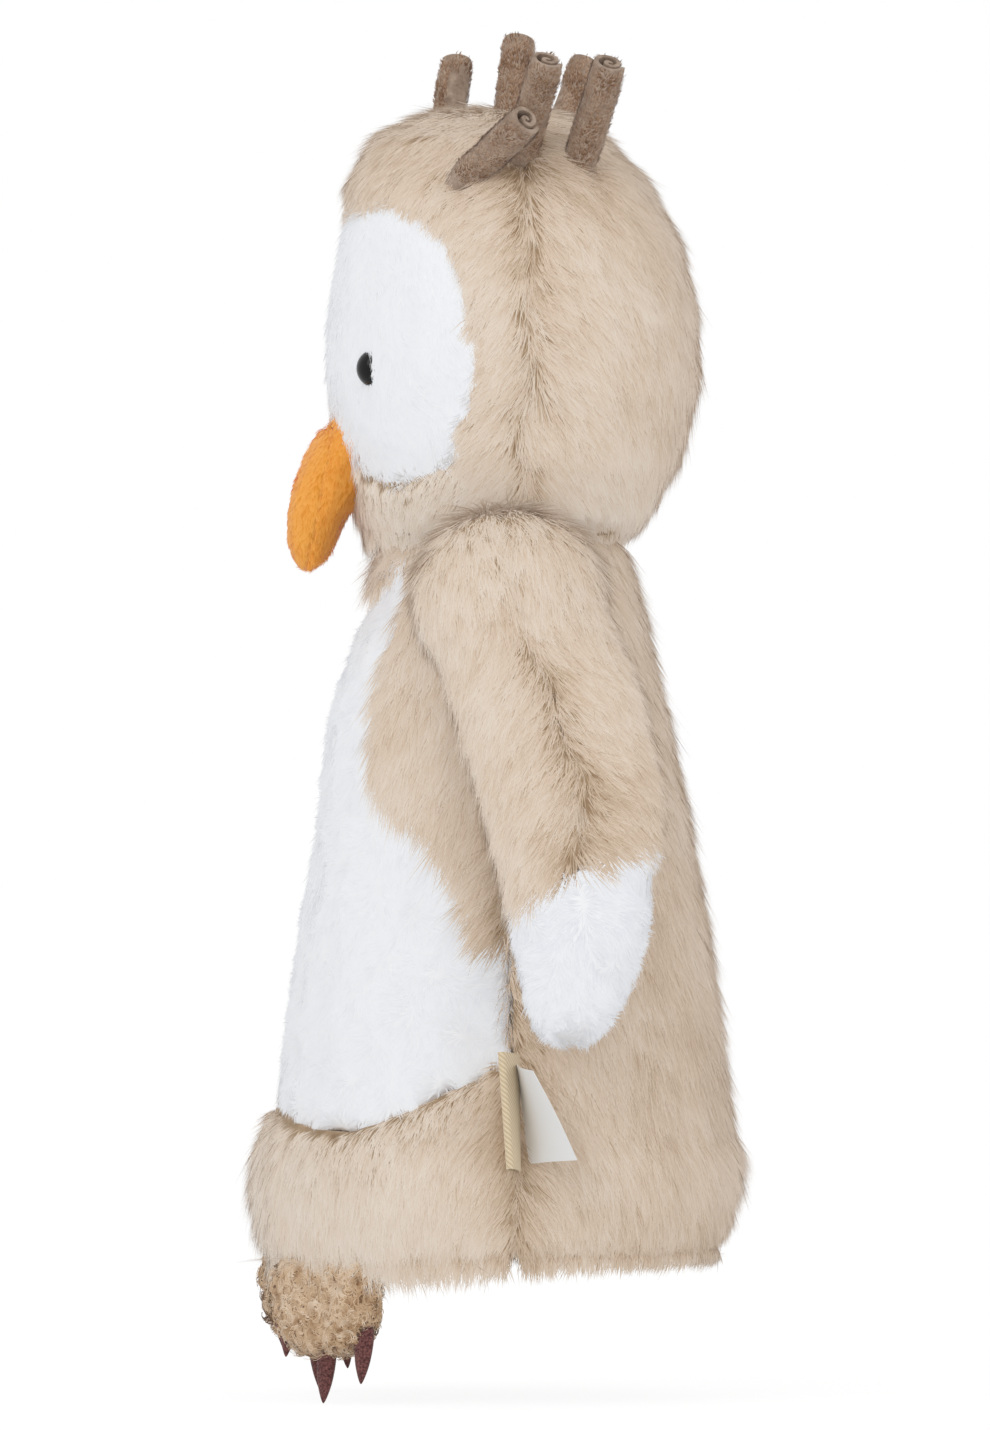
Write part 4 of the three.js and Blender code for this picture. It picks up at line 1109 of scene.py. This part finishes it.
def curls(name, rng, roots, outwards, material):
    """Curled locks: the fibres of one lock wind the same way as they rise, and then lie over together."""
    count = len(roots)
    centres = roots[rng.choice(count, max(1, count // CURLS_IN_LOCK), replace=False)]
    mine, _ = nearest_of(centres, roots)

    def shared(low, high):
        return rng.uniform(low, high, len(centres))[mine]

    def own(amount):
        return rng.normal(size=count) * amount

    any_way = unit(np.cross(outwards, rng.normal(size=(len(centres), 3))[mine]))
    other_way = np.cross(outwards, any_way)
    start = shared(0, 2 * math.pi) + own(0.25)
    turns = shared(0.55, 1.15) * rng.choice([-1, 1], len(centres))[mine]
    tilt = rng.normal(size=(len(centres), 2))[mine] * 0.5 + rng.normal(size=(count, 2)) * 0.15
    sizes = shared(0.75, 1.3) * (1 + own(0.08))
    to_middle = (centres[mine] - roots) * 0.12
    rows = []
    for share in np.linspace(0, 1, CURL_STEPS):
        angle = start + turns * 2 * math.pi * share
        reach = CURL_RADIUS * sizes * (0.35 + 0.65 * share)
        ring = any_way * (np.cos(angle) * reach)[:, None] + other_way * (np.sin(angle) * reach)[:, None]
        lean = (any_way * tilt[:, :1] + other_way * tilt[:, 1:]) * CURL_HEIGHT * share**2
        raised = outwards * (CURL_HEIGHT * sizes * math.sin(share * 1.9))[:, None]
        rows.append(roots + raised + lean + ring + to_middle * share)
    spine = np.stack(rows, axis=1)
    along = np.gradient(spine, axis=1)
    # A fibre is widest near its middle and comes to a point
    width = CURL_HALF_WIDTH * np.sin(np.linspace(0.5, math.pi, CURL_STEPS) ** 0.9)[None, :, None]
    side = np.cross(along, outwards[:, None, :])
    side /= np.maximum(np.linalg.norm(side, axis=2, keepdims=True), 1e-9)
    corners = np.stack([spine + side * width, spine - side * width], axis=2).reshape(count, -1, 3)
    pattern = np.concatenate([np.array([0, 2, 1, 2, 3, 1]) + 2 * step for step in range(CURL_STEPS - 1)])
    heights = np.repeat(np.linspace(0.02, 0.98, CURL_STEPS), 2)
    tints = np.clip(shared(0.2, 0.85) + own(0.1), 0.02, 0.98)
    places = np.stack(np.broadcast_arrays(tints[:, None], heights), axis=2)
    return strand_mesh(name, corners, pattern, places, outwards, material)


def foot_outside(points, normals):
    out = points - FOOT_MIDDLE * [np.sign(points[0, 0]), 1, 1]
    return np.sum(unit(out) * normals, axis=1)


for side, sign in SIDES.items():
    for seed, part in enumerate(["top", "sole"]):
        node = f"foot_{side}_{part}"
        skin = softened(node, f"{node}_ground", 1.2, 4)
        finished(skin, [node], f"foot_{side}", CURL_GROUND)
        points, normals = mesh_points(skin)
        deeper = CURL_DEPTH * rise(foot_outside(points, normals), 0.3, 0.9)
        set_points(skin, points - normals * deeper[:, None])
        rng = np.random.default_rng(70 + seed + 2 * sign)
        roots, outwards = scatter(skin, foot_outside, CURL_DENSITY, rng, least=0.1)
        piece = curls(f"{node}_curls", rng, roots, outwards, CURL_PILE)
        finished(piece, [node], f"foot_{side}")

CLAW_LENGTH, CLAW_HALF_WIDTH, CLAW_HALF_THICKNESS, CLAW_BEND = 12, 3.2, 2.2, 1.2
# Shares of the claw's length, from inside the foot to the tip, and of its widest place
CLAW_SHAPE = [
    (-0.42, 0.7), (-0.1, 0.95), (0, 1), (0.12, 0.985), (0.25, 0.94), (0.42, 0.83),
    (0.6, 0.68), (0.75, 0.5), (0.88, 0.31), (0.96, 0.16), (1, 0.04),
]


def claw_form():
    """One claw at the origin, pointing down: a flat stuffed spike with a seam along both edges."""
    bpy.ops.object.select_all(action="DESELECT")
    bpy.ops.mesh.primitive_circle_add(vertices=32, radius=1 * MM, fill_type="NGON")
    claw = bpy.context.active_object

    def next_round(above, below, narrower):
        bpy.ops.mesh.extrude_region_move(
            TRANSFORM_OT_translate={"value": (0, 0, (above - below) * CLAW_LENGTH * MM)}
        )
        bpy.ops.transform.resize(value=(narrower, narrower, 1))

    first, first_width = CLAW_SHAPE[0]
    steps = [lambda: bpy.ops.transform.translate(value=(0, 0, -first * CLAW_LENGTH * MM))]
    for (above, before), (below, after) in zip(CLAW_SHAPE, CLAW_SHAPE[1:]):
        steps.append(partial(next_round, above, below, after / before))
    editing(claw, *steps)
    editing(claw, lambda: bpy.ops.mesh.normals_make_consistent(inside=False))
    apply_modifier(claw, "SUBSURF", levels=1, render_levels=1)
    points, _ = mesh_points(claw)
    share = np.clip(-points[:, 2] / CLAW_LENGTH, 0, 1)
    points[:, 0] *= CLAW_HALF_WIDTH * first_width
    points[:, 1] *= CLAW_HALF_THICKNESS * first_width
    # The sewn edges are pinched to a thin rim
    edge = rise(np.abs(points[:, 0]) / CLAW_HALF_WIDTH, 0.55, 1)
    points[:, 1] *= 1 - 0.5 * edge
    points[:, 1] -= CLAW_BEND * share
    set_points(claw, points)
    smooth_shading(claw)
    return claw


claw = claw_form()
for side, sign in SIDES.items():
    hang = Matrix.Rotation(math.radians(FOOT_HANG[side]), 4, "X")
    turn = Matrix.Rotation(sign * math.radians(FOOT_TURN), 4, "Z") @ hang
    for name in ("inner", "middle", "outer"):
        node = f"claw_{side}_{name}"
        low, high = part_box(node)
        piece = bpy.data.objects.new(f"{node}_spike", claw.data.copy())
        bpy.context.scene.collection.objects.link(piece)
        piece.data.transform(turn)
        made, _ = mesh_points(piece)
        shift = (Vector(low) + Vector(high)) / 2 - Vector(made.max(axis=0) + made.min(axis=0)) / 2 * MM
        shift.z = low[2] - made[:, 2].min() * MM
        piece.data.transform(Matrix.Translation(shift))
        finished(piece, [node], f"foot_{side}", SUEDETTE)
bpy.data.objects.remove(claw)


# Linings and fillings, which show only through the hand opening

CREASE_DEPTH = 0.025


def cloth_layer(node, body, levels=1):
    """A thin sewn layer of lining: the node's form with finer mesh, softened and slightly creased."""
    piece = node_copy(node, f"{node}_layer")
    apply_modifier(piece, "SUBSURF", subdivision_type="SIMPLE", levels=levels, render_levels=levels)
    apply_modifier(piece, "SMOOTH", factor=0.4, iterations=2)
    points, normals = mesh_points(piece)
    creases = CREASE_DEPTH * (waves(points, 17, 80) - 1)
    set_points(piece, points + normals * creases[:, None])
    smooth_shading(piece, 50)
    finished(piece, [node], body, LINING_CLOTH)


cloth_layer("body_lining", "body", 2)
cloth_layer("hem_facing", "body", 2)
cloth_layer("head_base", "head")
cloth_layer("finger_sleeve", "neck", 2)
for side in SIDES:
    cloth_layer(f"shoulder_lining_{side}", f"shoulder_{side}", 2)
    cloth_layer(f"wing_{side}_lining", f"wing_{side}")
for node, body, voxel in [
    ("head_filling", "head", 2.0),
    ("beak_filling", "head", 0.9),
    ("foot_left_filling", "foot_left", 0.9),
    ("foot_right_filling", "foot_right", 0.9),
]:
    skin = softened(node, f"{node}_wadding", voxel, 3)
    finished(skin, [node], body, FILLING_FIBRE)
# The washers show their own CAD form, which needs no more than its material
for side in SIDES:
    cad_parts[f"eye_washer_{side}"].data.materials.clear()
    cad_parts[f"eye_washer_{side}"].data.materials.append(WASHER_PLASTIC)

# Labels in the left side seam

TAG_PLACE = np.array([66.645, 0, 37.110])
LABEL_PLACE = np.array([66.396, 1.9, 37.084])
SEAM_AXIS = np.array([-0.1046, 0, 0.9945])
TAG_HEIGHT, TAG_REACH, TAG_LEAN = 30, 12, -22
# The fold's own radius, how far the faces puff apart and how far the ribbon is pulled aslant
TAG_FOLD, TAG_PUFF, TAG_SLANT = 0.75, 0.5, 0.07
TAG_WALL = 0.35
LABEL_HEIGHT, LABEL_REACH, LABEL_LEAN, LABEL_TOP_LEAN, LABEL_SAG = 26, 17, 27, -5, 3.5
# How far the free edge curls, in degrees, and how far the sewn edge runs aslant
LABEL_CURL, LABEL_SLANT = 14, 3
LABEL_WALL = 0.25
seam_turn = Matrix.Rotation(-math.asin(-SEAM_AXIS[0]), 4, "Y")


def thread_map(piece, places):
    """Writes a map in millimetres, one place for each of the mesh's points."""
    index = np.empty(len(piece.data.loops), np.int32)
    piece.data.loops.foreach_get("vertex_index", index)
    layer = piece.data.uv_layers.new(name="threads")
    layer.data.foreach_set("uv", places[index].astype(np.float32).ravel())


def cloth_grid(name, across, along):
    """A flat grid of cloth from 0 to 1 both ways."""
    bpy.ops.object.select_all(action="DESELECT")
    bpy.ops.mesh.primitive_grid_add(x_subdivisions=across, y_subdivisions=along, size=1)
    piece = bpy.context.active_object
    piece.name = name
    points, _ = mesh_points(piece)
    return piece, points[:, :2] * MM + 0.5


ribbon, share = cloth_grid("ribbon_loop", 48, 24)
reach = TAG_REACH - 1.5
path = share[:, 0] * 2 - 1
# Up one face, round the fold and back down the other
round_fold = TAG_FOLD * math.pi / 2
from_fold = np.abs(path) * (reach + round_fold)
angle = np.clip(from_fold, 0, round_fold) / TAG_FOLD
straight = np.maximum(from_fold - round_fold, 0)
out = reach - TAG_FOLD + TAG_FOLD * np.cos(angle) - straight
off = TAG_FOLD * np.sin(angle) * np.sign(path)
height = (share[:, 1] - 0.5) * TAG_HEIGHT
out_share = np.clip(out / reach, 0, 1)
puff = TAG_PUFF * np.sin(np.pi * out_share) * np.sign(path)
slant = -TAG_SLANT * height * out_share
set_points(ribbon, np.stack([np.maximum(out, 0) + 0.6, off + puff + slant, height], axis=1))
thread_map(ribbon, share * [2 * reach + 2, TAG_HEIGHT])
apply_modifier(ribbon, "SOLIDIFY", thickness=TAG_WALL * MM, offset=0)
smooth_shading(ribbon, 50)
lean = Matrix.Rotation(math.radians(TAG_LEAN), 4, "Z")
ribbon.data.transform(Matrix.Translation(Vector(TAG_PLACE) * MM) @ seam_turn @ lean)
finished(ribbon, ["loop_tag"], "tag", RIBBON_CLOTH)

label, share = cloth_grid("satin_label", 24, 36)
lean = np.radians(LABEL_LEAN + (LABEL_TOP_LEAN - LABEL_LEAN) * share[:, 1])
out = share[:, 0] * LABEL_REACH
lean += np.radians(LABEL_CURL) * share[:, 0] ** 2
height = (share[:, 1] - 0.5) * LABEL_HEIGHT - LABEL_SAG * share[:, 1] * share[:, 0]
slant = LABEL_SLANT * (0.5 - share[:, 1]) - 0.6
set_points(label, np.stack([out * np.cos(lean) + 0.5, out * np.sin(lean) + slant, height], axis=1))
thread_map(label, share * [LABEL_REACH, LABEL_HEIGHT])
apply_modifier(label, "SOLIDIFY", thickness=LABEL_WALL * MM, offset=0)
smooth_shading(label, 50)
label.data.transform(Matrix.Translation(Vector(LABEL_PLACE) * MM) @ seam_turn)
finished(label, ["care_label"], "label", SATIN_CLOTH)


# Floor, light and camera

FLOOR_HEIGHT = -38.2
FLOOR_SIZE = 24
# The share of the floor's own light, which keeps the rest for the puppet's shadow, and its strength
FLOOR_GLOW_SHARE, FLOOR_GLOW = 0.85, 1.06
ROOM_LIGHT = 0.72


def backdrop_share(tree, amount):
    """How much of the plain white backdrop a ray sees: the camera's, and those off gloss or through glass."""
    rays = add_node(tree, "ShaderNodeLightPath")
    some = add_node(
        tree,
        "ShaderNodeMath",
        {"operation": "ADD"},
        {0: (rays, "Is Camera Ray"), 1: (rays, "Is Glossy Ray")},
    )
    every = add_node(
        tree,
        "ShaderNodeMath",
        {"operation": "ADD", "use_clamp": True},
        {0: (some, "Value"), 1: (rays, "Is Transmission Ray")},
    )
    return add_node(tree, "ShaderNodeMath", {"operation": "MULTIPLY", 1: amount}, {0: (every, "Value")})


bpy.ops.object.select_all(action="DESELECT")
bpy.ops.mesh.primitive_plane_add(size=FLOOR_SIZE, location=(0, 0, FLOOR_HEIGHT * MM))
floor = bpy.context.active_object
floor.name = "floor"
bpy.ops.object.transform_apply(location=True, rotation=True, scale=True)
paper, tree, shader = shaded("matt_white_paper", {"Base Color": linear("#F4F4F4"), "Roughness": 1.0})
glow = add_node(tree, "ShaderNodeEmission", {"Color": linear("#FFFFFF"), "Strength": FLOOR_GLOW})
mixed = add_node(
    tree,
    "ShaderNodeMixShader",
    links={0: (backdrop_share(tree, FLOOR_GLOW_SHARE), "Value"), 1: (shader, "BSDF"), 2: (glow, "Emission")},
)
tree.links.new(mixed.outputs[0], tree.nodes["Material Output"].inputs["Surface"])
floor.data.materials.append(paper)

world = bpy.data.worlds.new("studio")
bpy.context.scene.world = world
world.use_nodes = True
tree = world.node_tree
tree.nodes.clear()
around = add_node(tree, "ShaderNodeBackground", {"Color": linear("#FFFFFF"), "Strength": ROOM_LIGHT})
white = add_node(tree, "ShaderNodeBackground", {"Color": linear("#FFFFFF"), "Strength": 1.0})
mixed = add_node(
    tree,
    "ShaderNodeMixShader",
    links={0: (backdrop_share(tree, 1.0), "Value"), 1: (around, "Background"), 2: (white, "Background")},
)
add_node(tree, "ShaderNodeOutputWorld", links={"Surface": (mixed, "Shader")})


LAMP_SIZE = 1.2
LAMP_AIM = Vector((0, 0, 0.14))


def lamp(name, place, power):
    """A soft square lamp that looks at the puppet's middle."""
    data = bpy.data.lights.new(name, "AREA")
    data.shape = "SQUARE"
    data.size = LAMP_SIZE
    data.energy = power
    piece = bpy.data.objects.new(name, data)
    bpy.context.scene.collection.objects.link(piece)
    piece.location = place
    piece.rotation_euler = (LAMP_AIM - Vector(place)).to_track_quat("-Z", "Y").to_euler()


lamp("key", (1.1, -1.0, 1.3), 7.8)
lamp("fill", (1.2, 1.2, 0.5), 3.4)

# A long lens, because the photograph shows almost no perspective
AIM = Vector((0, 0, 139 * MM))
AZIMUTH = math.radians(85)
TO_CAMERA = Vector((math.sin(AZIMUTH), -math.cos(AZIMUTH), 0))
CAMERA_DISTANCE = 4
VIEW_HEIGHT = 371.8 * MM
SENSOR_HEIGHT = 36
camera_data = bpy.data.cameras.new("camera")
camera_data.sensor_fit = "VERTICAL"
camera_data.sensor_height = SENSOR_HEIGHT
camera_data.lens = SENSOR_HEIGHT * CAMERA_DISTANCE / VIEW_HEIGHT
camera = bpy.data.objects.new("camera", camera_data)
bpy.context.scene.collection.objects.link(camera)
camera.location = AIM + TO_CAMERA * CAMERA_DISTANCE
camera.rotation_euler = (-TO_CAMERA).to_track_quat("-Z", "Y").to_euler()
bpy.context.scene.camera = camera
bpy.context.scene.view_settings.view_transform = "Standard"
